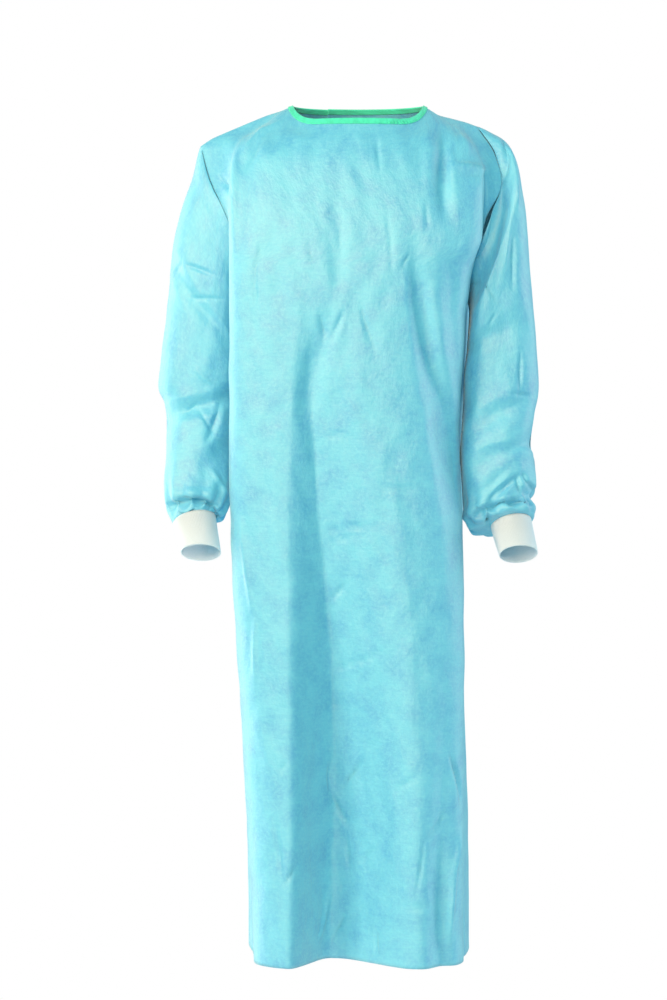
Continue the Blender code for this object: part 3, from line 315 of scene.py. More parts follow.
# Small creases. Each runs from one place to another, seen from the front or the back, with bend the
# bow of its middle. depth presses the cloth in, or out where it is negative, sharp is how pinched its
# bottom is, from 0 to 1, and lean makes one flank steeper than the other. What is made is deeper by
# PRESSED or PRESSED_SLEEVES and wider by SPREAD than the table says.
SMALL_CREASE_COLUMNS = ("from_x", "from_z", "to_x", "to_z", "bend", "half_width", "depth", "sharp", "lean")
SMALL_CREASES = {
    "front": (
        (-0.1444, -0.2159, -0.1517, -0.2510, 0.0015, 0.0040, 0.0012, 0.8, 0.0),
        (-0.1517, -0.2422, -0.1503, -0.3066, -0.0015, 0.0040, 0.0014, 0.8, 0.0),
        (0.0267, -0.0623, 0.0311, -0.1047, 0.0000, 0.0050, 0.0010, 0.5, 0.0),
        (-0.0523, -0.1793, -0.0332, -0.1661, 0.0000, 0.0040, 0.0010, 0.7, 0.0),
        (-0.0289, -0.1910, -0.0245, -0.2334, 0.0000, 0.0060, 0.0008, 0.5, 0.0),
        (-0.0757, -0.2159, -0.0669, -0.2437, 0.0000, 0.0040, 0.0008, 0.7, 0.0),
        (0.0399, -0.1691, 0.0472, -0.2598, 0.0030, 0.0060, 0.0008, 0.6, 0.0),
        (0.0984, -0.1515, 0.0999, -0.1983, 0.0000, 0.0060, 0.0007, 0.5, 0.0),
        (-0.0581, -0.3168, -0.0493, -0.3563, 0.0000, 0.0050, 0.0016, 0.7, 0.0),
        (-0.0215, -0.3139, -0.0406, -0.3563, 0.0000, 0.0060, 0.0018, 0.6, 0.0),
        (0.0033, -0.3036, 0.0238, -0.3665, -0.0030, 0.0050, 0.0014, 0.7, 0.0),
        (0.0604, -0.2554, 0.0735, -0.2305, 0.0000, 0.0040, 0.0010, 0.7, 0.0),
        (-0.0552, -0.4982, -0.0142, -0.4982, 0.0015, 0.0040, 0.0011, 0.7, 0.0),
        (-0.0508, -0.6386, 0.0282, -0.6269, 0.0015, 0.0040, 0.0012, 0.7, 0.0),
        (-0.0449, -0.6518, 0.0136, -0.6415, 0.0015, 0.0040, 0.0010, 0.7, 0.0),
        (0.0326, -0.5742, 0.0867, -0.5742, 0.0000, 0.0040, 0.0009, 0.7, 0.0),
        (-0.0391, -0.7366, -0.0172, -0.7117, 0.0000, 0.0050, 0.0015, 0.8, 0.0),
        (-0.0420, -0.8434, 0.0326, -0.8156, -0.0015, 0.0040, 0.0012, 0.8, 0.0),
        (-0.0391, -0.9765, -0.0406, -1.0292, -0.0030, 0.0050, 0.0018, 0.7, 0.0),
        (-0.0420, -1.0262, -0.0142, -1.0760, -0.0015, 0.0050, 0.0018, 0.7, 0.0),
        (0.0063, -0.9765, -0.0259, -1.0233, 0.0000, 0.0050, 0.0022, 0.9, 0.0),
        (-0.1137, -0.9882, -0.1049, -0.9736, 0.0000, 0.0040, 0.0012, 0.8, 0.0),
        (-0.0903, -1.1257, -0.1108, -1.1564, 0.0000, 0.0040, 0.0018, 0.9, 0.0),
        (-0.0186, -1.0935, -0.0128, -1.1476, 0.0000, 0.0040, 0.0014, 0.8, 0.0),
        (-0.0420, -1.1798, -0.0566, -1.2442, 0.0000, 0.0040, -0.0016, 0.7, 0.0),
        (-0.0186, -1.2120, -0.0420, -1.2530, 0.0000, 0.0040, 0.0016, 0.8, 0.0),
        (0.1277, -1.0511, 0.0955, -1.0906, 0.0030, 0.0050, 0.0016, 0.7, 0.0),
        (0.0955, -1.0877, 0.0838, -1.1696, 0.0015, 0.0040, 0.0014, 0.7, 0.0),
        (0.1364, -0.9677, 0.1525, -1.0409, 0.0030, 0.0040, 0.0030, 0.8, 0.0),
        (0.0721, -1.1886, 0.1072, -1.1886, 0.0000, 0.0040, 0.0010, 0.7, 0.0),
        (0.0253, -1.2296, 0.0267, -1.2676, 0.0000, 0.0040, 0.0015, 0.8, 0.0),
        (0.1525, -1.0774, 0.1394, -1.1520, 0.0000, 0.0060, -0.0025, 0.6, 0.0),
        (0.1408, -1.1462, 0.1335, -1.2442, 0.0000, 0.0060, -0.0030, 0.6, 0.0),
        (-0.1751, -0.6167, -0.1576, -0.7542, 0.0000, 0.0060, -0.0016, 0.5, 0.0),
        (-0.1532, -0.7688, -0.1532, -0.8566, 0.0000, 0.0060, -0.0014, 0.5, 0.0),
        (-0.1225, -0.0300, -0.1690, -0.0700, -0.0030, 0.0080, -0.0022, 0.5, 0.3),
        (-0.1480, -0.0540, -0.1690, -0.1000, 0.0000, 0.0120, 0.0022, 0.2, 0.0),
        (0.1480, -0.0450, 0.1650, -0.0820, 0.0000, 0.0170, -0.0032, 0.3, 0.0),
        (0.1050, -0.0400, 0.1040, -0.1350, 0.0000, 0.0140, -0.0012, 0.2, 0.0),
        (0.1240, -0.0450, 0.1260, -0.1700, 0.0000, 0.0130, 0.0020, 0.3, 0.0),
        (0.1380, -0.0960, 0.1900, -0.1010, 0.0000, 0.0110, -0.0028, 0.6, 0.5),
        (0.1500, -0.1120, 0.1860, -0.1120, 0.0000, 0.0100, 0.0016, 0.2, 0.0),
        (0.0900, -0.2450, 0.1060, -0.4150, 0.0000, 0.0230, 0.0026, 0.3, 0.0),
        (0.1060, -0.4000, 0.1420, -0.5900, 0.0000, 0.0230, 0.0028, 0.3, 0.0),
        (-0.0300, -0.1450, -0.0340, -0.2950, 0.0020, 0.0180, 0.0012, 0.1, 0.0),
        (-0.0380, -0.3050, -0.0820, -0.4600, 0.0000, 0.0200, 0.0020, 0.2, 0.0),
        (0.1290, -0.8400, 0.1200, -1.2700, 0.0000, 0.0200, 0.0020, 0.2, 0.0),
        (-0.0560, -0.9050, -0.0240, -0.8900, 0.0010, 0.0050, 0.0012, 0.7, 0.0),
        (0.0520, -1.0200, 0.0880, -0.9950, 0.0015, 0.0050, 0.0012, 0.7, 0.0),
        (-0.1230, -1.0600, -0.1120, -1.1500, 0.0000, 0.0060, 0.0014, 0.6, 0.0),
        (0.0020, -1.1300, 0.0260, -1.1050, 0.0000, 0.0050, 0.0014, 0.7, 0.0),
        (0.1876, -0.1003, 0.1876, -0.1705, 0.0000, 0.0050, 0.0016, 0.7, 0.0),
        (-0.2058, -0.1106, -0.1883, -0.1369, 0.0000, 0.0060, 0.0025, 0.6, 0.0),
    ),
    "sleeve_right": (
        (-0.2541, -0.2903, -0.2019, -0.2918, 0.0000, 0.0050, 0.0016, 0.7, 0.0),
        (-0.2780, -0.2530, -0.2631, -0.2380, 0.0000, 0.0050, 0.0015, 0.6, 0.0),
        (-0.2631, -0.2380, -0.2153, -0.2559, 0.0000, 0.0060, 0.0018, 0.6, 0.0),
        (-0.2437, -0.3933, -0.2213, -0.4172, -0.0015, 0.0050, -0.0016, 0.6, 0.0),
        (-0.2586, -0.4620, -0.2407, -0.4485, 0.0000, 0.0050, 0.0016, 0.7, 0.0),
        (-0.2377, -0.4590, -0.2168, -0.4888, 0.0000, 0.0050, 0.0018, 0.7, 0.0),
        (-0.2272, -0.5053, -0.2078, -0.4485, -0.0030, 0.0080, 0.0030, 0.5, 0.0),
        (-0.2183, -0.5471, -0.1959, -0.5829, 0.0000, 0.0060, -0.0020, 0.6, 0.0),
        (-0.2860, -0.6010, -0.2520, -0.5895, 0.0000, 0.0065, 0.0065, 0.6, 0.6),
        (-0.2720, -0.6090, -0.2440, -0.6060, -0.0060, 0.0050, 0.0055, 0.8, 0.3),
        (-0.2640, -0.5904, -0.2240, -0.5904, 0.0000, 0.0065, 0.0065, 0.6, 0.6),
        (-0.2400, -0.5896, -0.2080, -0.6018, 0.0000, 0.0065, 0.0070, 0.6, 0.6),
        (-0.2210, -0.5963, -0.2093, -0.6262, 0.0000, 0.0055, 0.0055, 0.7, 0.0),
        (-0.2760, -0.5840, -0.2060, -0.5840, 0.0020, 0.0110, -0.0024, 0.0, 0.0),
    ),
    "sleeve_left": (
        (0.1677, -0.2657, 0.1815, -0.2700, 0.0000, 0.0040, 0.0010, 0.6, 0.0),
        (0.1850, -0.2700, 0.2049, -0.2955, 0.0000, 0.0045, 0.0014, 0.6, 0.0),
        (0.1945, -0.3312, 0.2034, -0.3148, 0.0000, 0.0040, 0.0014, 0.7, 0.0),
        (0.2227, -0.4324, 0.2599, -0.4369, 0.0000, 0.0040, 0.0018, 0.7, 0.0),
        (0.2406, -0.3654, 0.2406, -0.4339, 0.0000, 0.0050, 0.0018, 0.5, 0.0),
        (0.2257, -0.1809, 0.2108, -0.2806, 0.0000, 0.0060, -0.0020, 0.5, 0.0),
        (0.2287, -0.2791, 0.2287, -0.2018, 0.0000, 0.0070, 0.0022, 0.5, 0.0),
        (0.2361, -0.1065, 0.2361, -0.1616, 0.0000, 0.0040, -0.0015, 0.6, 0.0),
        (0.2168, -0.0470, 0.2153, -0.1170, 0.0045, 0.0070, 0.0040, 0.5, 0.0),
        (0.2430, -0.5440, 0.1560, -0.6230, 0.0015, 0.0090, -0.0060, 0.4, 0.4),
        (0.2340, -0.5540, 0.1860, -0.5960, 0.0015, 0.0080, 0.0070, 0.6, 0.0),
        (0.1740, -0.6100, 0.2400, -0.5890, 0.0030, 0.0065, 0.0075, 0.6, 0.5),
        (0.2180, -0.5975, 0.2600, -0.5923, 0.0000, 0.0055, 0.0060, 0.7, 0.4),
        (0.2339, -0.5544, 0.2413, -0.5842, 0.0000, 0.0050, 0.0028, 0.7, 0.0),
        (0.2413, -0.5500, 0.2644, -0.5812, 0.0000, 0.0055, 0.0032, 0.7, 0.0),
        (0.1960, -0.6080, 0.2049, -0.5961, 0.0000, 0.0030, 0.0025, 0.8, 0.0),
        (0.1907, -0.6065, 0.1945, -0.6303, 0.0000, 0.0040, 0.0040, 0.7, 0.0),
        (0.1960, -0.1400, 0.1680, -0.2750, 0.0000, 0.0200, -0.0060, 0.0, 0.0),
        (0.1650, -0.2900, 0.1560, -0.4600, 0.0000, 0.0080, -0.0018, 0.2, 0.0),
    ),
    "back": (
        (-0.0900, -0.1500, -0.0400, -0.2100, 0.0020, 0.0060, 0.0018, 0.6, 0.0),
        (0.0700, -0.1400, 0.0350, -0.2000, -0.0020, 0.0060, 0.0018, 0.6, 0.0),
        (-0.1350, -0.2100, -0.1000, -0.3000, 0.0030, 0.0070, 0.0022, 0.5, 0.0),
        (0.1250, -0.2300, 0.0950, -0.3100, -0.0030, 0.0070, 0.0020, 0.5, 0.0),
        (-0.0700, -0.0700, -0.0300, -0.0650, 0.0010, 0.0050, 0.0010, 0.7, 0.0),
        (0.0150, -0.1050, 0.0300, -0.1400, 0.0000, 0.0050, 0.0012, 0.7, 0.0),
        (-0.0500, -0.3600, -0.0150, -0.4050, 0.0020, 0.0060, 0.0016, 0.7, 0.0),
        (0.0850, -0.3900, 0.0500, -0.4250, 0.0000, 0.0050, 0.0014, 0.7, 0.0),
        (-0.1150, -0.4300, -0.0900, -0.5050, 0.0020, 0.0070, 0.0020, 0.6, 0.0),
        (0.1200, -0.4700, 0.1000, -0.5600, -0.0020, 0.0070, 0.0018, 0.6, 0.0),
        (-0.0350, -0.5200, 0.0250, -0.5150, 0.0010, 0.0045, 0.0010, 0.7, 0.0),
        (-0.0750, -0.6300, -0.0500, -0.6900, -0.0015, 0.0055, 0.0016, 0.7, 0.0),
        (0.0900, -0.6800, 0.1080, -0.7600, 0.0015, 0.0060, 0.0018, 0.6, 0.0),
        (-0.1250, -0.7400, -0.1120, -0.8600, 0.0020, 0.0065, 0.0020, 0.6, 0.0),
        (0.0400, -0.8200, 0.0850, -0.8450, 0.0010, 0.0045, 0.0012, 0.7, 0.0),
        (-0.0450, -0.8800, -0.0100, -0.8650, 0.0010, 0.0045, 0.0012, 0.7, 0.0),
        (0.1050, -0.9100, 0.1200, -1.0200, -0.0015, 0.0060, 0.0018, 0.6, 0.0),
        (-0.0900, -0.9700, -0.0650, -1.0300, 0.0015, 0.0050, 0.0016, 0.8, 0.0),
        (-0.1300, -1.0500, -0.1180, -1.1700, 0.0020, 0.0060, 0.0020, 0.6, 0.0),
        (0.0450, -1.0900, 0.0550, -1.1600, 0.0010, 0.0050, 0.0015, 0.8, 0.0),
        (-0.0300, -1.1500, -0.0500, -1.2100, 0.0000, 0.0050, 0.0016, 0.8, 0.0),
        (0.1150, -1.1900, 0.1050, -1.2600, 0.0010, 0.0055, 0.0018, 0.7, 0.0),
    ),
    "sleeve_right_back": (
        (-0.2300, -0.1700, -0.2050, -0.2350, 0.0020, 0.0060, 0.0018, 0.6, 0.0),
        (-0.2700, -0.2500, -0.2250, -0.2700, 0.0010, 0.0060, 0.0018, 0.6, 0.0),
        (-0.2050, -0.3300, -0.2450, -0.3650, 0.0010, 0.0060, 0.0020, 0.6, 0.0),
        (-0.2800, -0.3950, -0.2300, -0.4200, 0.0020, 0.0060, 0.0024, 0.6, 0.0),
        (-0.2000, -0.4350, -0.2450, -0.4600, 0.0010, 0.0060, 0.0024, 0.6, 0.0),
        (-0.2750, -0.4950, -0.2350, -0.5200, 0.0010, 0.0060, 0.0020, 0.6, 0.0),
        (-0.2100, -0.5450, -0.2350, -0.5850, 0.0010, 0.0050, 0.0026, 0.7, 0.0),
        (-0.2650, -0.5500, -0.2550, -0.5950, 0.0010, 0.0050, 0.0026, 0.7, 0.0),
        (-0.2730, -0.5960, -0.2150, -0.6010, 0.0030, 0.0045, 0.0035, 0.8, 0.0),
    ),
    "sleeve_left_back": (
        (0.2250, -0.1300, 0.2150, -0.2000, 0.0020, 0.0060, 0.0018, 0.6, 0.0),
        (0.1850, -0.2450, 0.2250, -0.2700, 0.0010, 0.0060, 0.0018, 0.6, 0.0),
        (0.2550, -0.3050, 0.2150, -0.3400, 0.0010, 0.0060, 0.0020, 0.6, 0.0),
        (0.1750, -0.3800, 0.2200, -0.4100, 0.0020, 0.0060, 0.0024, 0.6, 0.0),
        (0.2600, -0.4300, 0.2200, -0.4550, 0.0010, 0.0060, 0.0024, 0.6, 0.0),
        (0.1800, -0.4900, 0.2150, -0.5150, 0.0010, 0.0060, 0.0020, 0.6, 0.0),
        (0.2500, -0.5350, 0.2350, -0.5850, 0.0010, 0.0050, 0.0026, 0.7, 0.0),
        (0.1900, -0.5500, 0.2050, -0.5950, 0.0010, 0.0050, 0.0026, 0.7, 0.0),
        (0.1950, -0.6080, 0.2500, -0.6010, 0.0030, 0.0045, 0.0035, 0.8, 0.0),
    ),
}

PRESSED = 2.7                 # how much deeper than in the table the panels' small creases are
PRESSED_SLEEVES = 1.7         # and those of the sleeves
SPREAD = 1.15                 # how much wider than its half_width a crease is
CREASE_END = 0.25             # share of its depth that a crease has at its two ends
TURNED = 0.02                 # a crease is gone where its cloth faces the viewer by less than this
TURNED_FADE = 0.25            # and is whole this much further on, where 1 is square to the view
SEAM_ROLL = 0.0004            # how far cloth dips into a seam
SEAM_ROLL_WIDTH = 0.0040

# Faint waves that limp cloth has all over: how long each is across and down, and how much it wanders.
# They wander and grow higher and lower along slower waves, whose lengths follow the table.
RIPPLE_COLUMNS = ("across", "down", "phase", "wander", "height")
RIPPLES = (
    (0.1250, -0.4100, 1.2, 1.3, 0.0005),
    (0.0830, 0.2900, 0.4, 1.7, 0.0005),
    (0.0540, 0.2100, 2.1, 1.5, 0.0005),
    (0.0390, -0.1500, 4.0, 1.9, 0.0004),
    (0.0280, 0.0900, 5.2, 1.1, 0.0003),
)
RIPPLE_FADE = 0.04            # the waves fade out over this stretch beside a sewn edge
WANDER_LENGTH = 0.23
WANDER_SLANT = 0.4            # how far each wander climbs for each metre across
SWELL_DOWN = 0.31
SWELL_ACROSS = 0.19
SWELL = 0.4                   # share of a wave's height that comes and goes


# ------------------------------------------------------------------ reading the tables
def smooth_values(columns, rows, at):
    """Values of every column at one or more places, on smooth curves through the table's rows."""
    table = np.array(rows, dtype=float)
    keys = table[:, 0]
    slopes = np.gradient(table, keys, axis=0)
    rises = np.abs(np.diff(table, axis=0) / np.diff(keys)[:, None])
    steepest = SLOPE_LIMIT * np.minimum(rises[:-1], rises[1:])
    slopes[1:-1] = np.clip(slopes[1:-1], -steepest, steepest)
    at = np.clip(at, keys[0], keys[-1])
    index = np.clip(np.searchsorted(keys, at, side="right") - 1, 0, len(keys) - 2)
    step = (keys[index + 1] - keys[index])[..., None]
    part = (at - keys[index])[..., None] / step
    value = ((1 + 2 * part) * (1 - part) ** 2 * table[index]
             + part * (1 - part) ** 2 * step * slopes[index]
             + part ** 2 * (3 - 2 * part) * table[index + 1]
             + part ** 2 * (part - 1) * step * slopes[index + 1])
    return dict(zip(columns, np.moveaxis(value, -1, 0)))


def ease(part):
    """A soft step from 0 to 1."""
    part = np.clip(part, 0.0, 1.0)
    return part * part * (3 - 2 * part)


def run_length(points):
    """Distance along a line of points, at each point."""
    steps = np.linalg.norm(np.diff(points, axis=0), axis=1)
    return np.concatenate([[0.0], np.cumsum(steps)])


def even_points(points, count):
    """The line through the points, cut into equal steps."""
    length = run_length(points)
    places = np.linspace(0, length[-1], count + 1)
    return np.column_stack([np.interp(places, length, points[:, axis]) for axis in range(3)])


def flank(part, crisp):
    """The side of a fold, from 0 at its foot to 1 at its line: a soft step or, if crisp, a straight one."""
    part = np.clip(part, 0.0, 1.0)
    return (1 - crisp) * ease(part) + crisp * (part + part * part * (2 - part)) / 2


# ------------------------------------------------------------------ seams and panels
def armhole_points(side, face, share):
    row = smooth_values(ARMHOLE_COLUMNS, ARMHOLES[side], share)
    return np.stack([row[face + "_x"], row[face + "_y"], -row[face + "_drop"]], axis=-1)


def seam_point(side, face, level):
    """Where a row of the front or back panel ends: shoulder seam, armhole or side seam."""
    if level <= 1:
        tip = armhole_points(side, face, 0.0)
        start = np.array([NECK_HALF if side == "left" else -NECK_HALF, 0.0, 0.0])
        rise = smooth_values(SHOULDER_COLUMNS, SHOULDER_BOWS, level)[side + "_rise"]
        return start + (tip - start) * level + np.array([0.0, 0.0, rise])
    if level <= 2:
        return armhole_points(side, face, level - 1)
    row = smooth_values(SIDE_SEAM_COLUMNS, SIDE_SEAMS, level)
    drop = PIT_DROP + (level - 2) * (HEM_DROP - PIT_DROP)
    return np.array([row[side + "_x"], row[side + "_y"], -drop])


def fold_push(folds, points):
    """How far the large folds press each point inward."""
    across, drop = points[:, 0], -points[:, 2]
    push = np.zeros(len(points))
    for rows in folds.values():
        fold = smooth_values(FOLD_COLUMNS, rows, drop)
        before = (across - fold["start_x"]) / (fold["line_x"] - fold["start_x"])
        after = (fold["end_x"] - across) / (fold["end_x"] - fold["line_x"])
        reached = (drop >= rows[0][0]) & (drop <= rows[-1][0])
        push += reached * fold["depth"] * flank(np.minimum(before, after), fold["crisp"])
    return push


def body_row(face, level):
    """One row of cloth from the right seam to the left seam, across the front or the back."""
    inward = 1.0 if face == "front" else -1.0
    cut = smooth_values(CUT_COLUMNS, FRONT_CUTS if face == "front" else BACK_CUTS, level)
    edges = {side: np.array([cut[side + "_x"], cut[side + "_y"], -cut[side + "_drop"]])
             for side in ("right", "left")}

    def side_return(side):
        seam = seam_point(side, face, level)
        share = np.linspace(1, 0, RETURN_STEPS, endpoint=False)
        curl = np.column_stack([share ** RETURN_CURL, share, share])
        return edges[side] + (seam - edges[side]) * curl

    turn = np.linspace(0, math.pi, ARC_STEPS)
    across = -np.sign(np.cos(turn)) * np.abs(np.cos(turn)) ** (2 / cut["square"])
    swell = np.sin(turn) ** (2 / cut["square"])
    share = (1 + across) / 2
    base = edges["right"] + np.outer(share, edges["left"] - edges["right"])
    sweep = base.copy()
    sweep[:, 1] += (-inward * cut["reach"] - base[:, 1]) * swell
    sink = swell + cut["flat"] * (ease(NECK_SINK * swell) - swell)
    sweep[:, 2] += (-cut["drop"] - base[:, 2]) * sink

    points = np.vstack([side_return("right"), sweep, side_return("left")[::-1]])
    length = run_length(points)
    from_seam = np.minimum(length, length[-1] - length)
    folds = FRONT_FOLDS if face == "front" else BACK_FOLDS
    points[:, 1] += inward * fold_push(folds, points) * ease(from_seam / SEAM_FADE)
    return points


def row_levels():
    """Levels of the rows of every panel, closer together than any crease is wide."""
    stretches = [np.linspace(start, start + 1, rows + 1)[1:] for start, rows in enumerate(LEVEL_ROWS)]
    return np.concatenate([[0.0]] + stretches)


def front_grid(levels=None):
    levels = row_levels() if levels is None else levels
    return np.array([even_points(body_row("front", level), FRONT_COLUMNS) for level in levels])


def cut_at(row, across):
    """The two parts of a row, right and left of a place across the back."""
    last = np.flatnonzero(row[:, 0] <= across)[-1]
    share = (across - row[last, 0]) / (row[last + 1, 0] - row[last, 0])
    end = row[last] + (row[last + 1] - row[last]) * share
    return np.vstack([row[:last + 1], end]), np.vstack([end, row[last + 1:]])


def back_grids(levels=None):
    """The right back panel, from its free edge to its seam, and the left one, seam to free edge."""
    right_rows, left_rows = [], []
    for level in row_levels() if levels is None else levels:
        row = body_row("back", level)
        lap = smooth_values(LAP_COLUMNS, LAPS, level)
        outer = cut_at(row, lap["outer_end_x"])[0]
        inner = cut_at(row, lap["inner_end_x"])[1]
        draw_in = ease((LAP_RAMP_START - inner[:, 0]) / (LAP_RAMP_START - LAP_RAMP_END))
        length = run_length(inner)
        draw_in *= ease((length[-1] - length) / SEAM_FADE)
        inner[:, 1] -= lap["inset"] * draw_in
        right_rows.append(even_points(outer, BACK_COLUMNS)[::-1])
        left_rows.append(even_points(inner, BACK_COLUMNS)[::-1])
    return np.array(right_rows), np.array(left_rows)


# ------------------------------------------------------------------ sleeves and cuffs
def turns(columns):
    """Angles round an arm, from its outer side by the front; the last one closes the ring."""
    return np.linspace(0, 2 * math.pi, columns + 1)


def armhole_ring(side, turn):
    half = turn / math.pi
    front = armhole_points(side, "front", np.minimum(half, 1))
    back = armhole_points(side, "back", np.minimum(2 - half, 1))
    return np.where((half <= 1)[:, None], front, back)


def cuff_rings(side, along, turn):
    """Rings of the cuff, from its outer side round by the front."""
    rows = CUFFS[side]
    place = smooth_values(CUFF_COLUMNS, rows, along)
    first, last = np.array(rows[0][1:4]), np.array(rows[-1][1:4])
    axis = (last - first) * (1, 1, -1)
    axis /= np.linalg.norm(axis)
    level = np.array([1.0 if side == "left" else -1.0, 0.0, 0.0])
    outward = level - np.outer(1 - place["levelled"], axis * level.dot(axis))
    outward /= np.linalg.norm(outward, axis=-1, keepdims=True)
    forward = np.cross(axis, level)
    forward *= -np.sign(forward[1]) / np.linalg.norm(forward)
    centre = np.stack([place["x"], place["y"], -place["drop"]], axis=-1)
    spoke = np.cos(turn)[:, None] * outward[:, None] + np.outer(np.sin(turn), forward)
    return centre[:, None] + place["radius"][:, None, None] * spoke


def sleeve_press(side, along, turn, radius):
    """How far a sleeve's large folds press its points towards the arm."""
    depth = np.zeros((len(along), len(turn)))
    here = np.stack(np.broadcast_arrays(along[:, None] * SLEEVE_LENGTH, turn * radius[:, None]), axis=-1)
    for row in SLEEVE_FOLDS[side]:
        fold = dict(zip(CREASE_COLUMNS, row))
        ends = [np.stack(np.broadcast_arrays(fold["along_" + end] * SLEEVE_LENGTH,
                                             math.radians(fold["round_" + end]) * radius), axis=-1)
                for end in ("start", "end")]
        run = (ends[1] - ends[0])[:, None]
        away = here - ends[0][:, None]
        part = np.clip((away * run).sum(-1) / (run * run).sum(-1), 0, 1)
        gap = np.linalg.norm(away - part[..., None] * run, axis=-1)
        swell = np.sin(math.pi * (FOLD_END + (1 - 2 * FOLD_END) * part))
        depth += fold["depth"] * swell * ease(1 - gap / (2 * fold["half_width"]))
    return depth


def sleeve_grid(side):
    """Rings of a sleeve, armhole to cuff."""
    along = np.linspace(0, 1, SLEEVE_RINGS + 1)
    turn = turns(SLEEVE_COLUMNS)
    cut = smooth_values(RING_COLUMNS, SLEEVE_CUTS[side], along)
    outer = np.stack([cut["outer_x"], cut["mid_y"], -cut["outer_drop"]], axis=-1)
    inner = np.stack([cut["inner_x"], cut["mid_y"], -cut["inner_drop"]], axis=-1)
    tilt = np.radians(cut["tilt"])
    forward = cut["half_y"][:, None] * np.stack([0 * tilt, -np.cos(tilt), np.sin(tilt)], axis=-1)
    centre = (outer + inner) / 2
    radius = (cut["half_y"] + np.linalg.norm(outer - inner, axis=-1) / 2) / 2
    power = (2 / cut["square"])[:, None]
    across = np.sign(np.cos(turn)) * np.abs(np.cos(turn)) ** power
    ahead = np.sign(np.sin(turn)) * np.abs(np.sin(turn)) ** power
    spoke = (outer - centre)[:, None] * across[..., None] + forward[:, None] * ahead[..., None]
    bow = cut["bow"] if side == "left" else -cut["bow"]
    spoke[..., 0] += bow[:, None] * np.sin(turn) ** 2
    joined = ease((along - (1 - JOIN_SHARE)) / JOIN_SHARE)
    gathered = ease((along - GATHER_START) / (1 - GATHER_START)) * (1 - joined * GATHER_LOSS)
    wave = np.cos(GATHERS * turn + GATHER_SWAY * np.sin(2 * turn + 1.0))
    press = sleeve_press(side, along, turn, radius) + GATHER_DEPTH * np.outer(gathered, wave)
    rings = centre[:, None] + spoke * (1 - press / np.linalg.norm(spoke, axis=-1))[..., None]
    freed = np.clip(cut["freed"], 0.0, 1.0)[:, None, None]
    rings = armhole_ring(side, turn) * (1 - freed) + rings * freed
    joined = joined[:, None, None]
    rings = rings * (1 - joined) + cuff_rings(side, np.zeros(1), turn) * joined
    return facing_out(side, rings)


def facing_out(side, rings):
    """The left arm's rings run the other way round, so that their faces point out as well."""
    return rings[:, ::-1] if side == "left" else rings


# ------------------------------------------------------------------ small creases
def outward_steps(points, tube):
    """Unit steps out of a grid of points."""
    if tube:
        padded = np.concatenate([points[:, -2:-1], points, points[:, 1:2]], axis=1)
        along = np.gradient(padded, axis=1)[:, 1:-1]
    else:
        along = np.gradient(points, axis=1)
    steps = np.cross(np.gradient(points, axis=0), along)
    return steps / np.maximum(np.linalg.norm(steps, axis=-1, keepdims=True), 1e-9)


def creased(points, creases, face, tube=False):
    """The grid with the small creases of one face pressed into it."""
    steps = outward_steps(points, tube)
    ahead = -steps[..., 1] if face == "front" else steps[..., 1]
    shown = ease((ahead - TURNED) / TURNED_FADE)
    depth = np.zeros(points.shape[:2])
    place = points[..., [0, 2]]
    for row in SMALL_CREASES[creases]:
        crease = dict(zip(SMALL_CREASE_COLUMNS, row))
        start = np.array([crease["from_x"], crease["from_z"]])
        run = np.array([crease["to_x"], crease["to_z"]]) - start
        length = np.linalg.norm(run)
        side = np.array([-run[1], run[0]]) / length
        part = (place - start) @ run / length ** 2
        inside = np.clip(part, 0, 1)
        gap = (place - start) @ side - crease["bend"] * 4 * inside * (1 - inside)
        gap *= np.where(gap > 0, 1 + crease["lean"], 1 - crease["lean"])
        beyond = (part - inside) * length
        reach = np.clip(1 - np.hypot(gap, beyond) / (SPREAD * crease["half_width"]), 0, 1)
        profile = (1 - crease["sharp"]) * ease(reach) + crease["sharp"] * reach ** 2
        depth += crease["depth"] * profile * (CREASE_END + (1 - CREASE_END) * np.sin(math.pi * inside))
    depth *= PRESSED_SLEEVES if tube else PRESSED
    return points - steps * (depth * shown)[..., None]


def waves(points):
    """Height of the faint, uneven waves at each point."""
    x, z = points[..., 0], points[..., 2]
    height = np.zeros(points.shape[:2])
    for row in RIPPLES:
        ripple = dict(zip(RIPPLE_COLUMNS, row))
        turn = 2 * math.pi * (x / ripple["across"] + z / ripple["down"]) + ripple["phase"]
        slow = 2 * math.pi * (z + WANDER_SLANT * x) / WANDER_LENGTH + ripple["phase"]
        turn += ripple["wander"] * np.sin(slow)
        slow = 2 * math.pi * (z / SWELL_DOWN - x / SWELL_ACROSS) + 2 * ripple["phase"]
        swell = 1 - SWELL + SWELL * np.sin(slow)
        height += ripple["height"] * swell * np.sin(turn)
    return height


def rippled(points, edges, tube=False):
    """The grid with faint waves all over, which fade to its sewn edges, and a fine groove at these."""
    steps = outward_steps(points, tube)
    rows = np.linalg.norm(np.diff(points, axis=1), axis=-1).cumsum(1)
    across = np.concatenate([np.zeros((len(points), 1)), rows], axis=1)
    columns = np.linalg.norm(np.diff(points, axis=0), axis=-1).cumsum(0)
    down = np.concatenate([np.zeros((1, points.shape[1])), columns])
    gaps = {"first column": across, "last column": across[:, -1:] - across,
            "first row": down, "last row": down[-1:] - down}
    nearest = np.min([gaps[edge] for edge in edges], axis=0)
    dip = SEAM_ROLL * np.clip(1 - nearest / SEAM_ROLL_WIDTH, 0, 1) ** 2
    return points + steps * (waves(points) * ease(nearest / RIPPLE_FADE) - dip)[..., None]


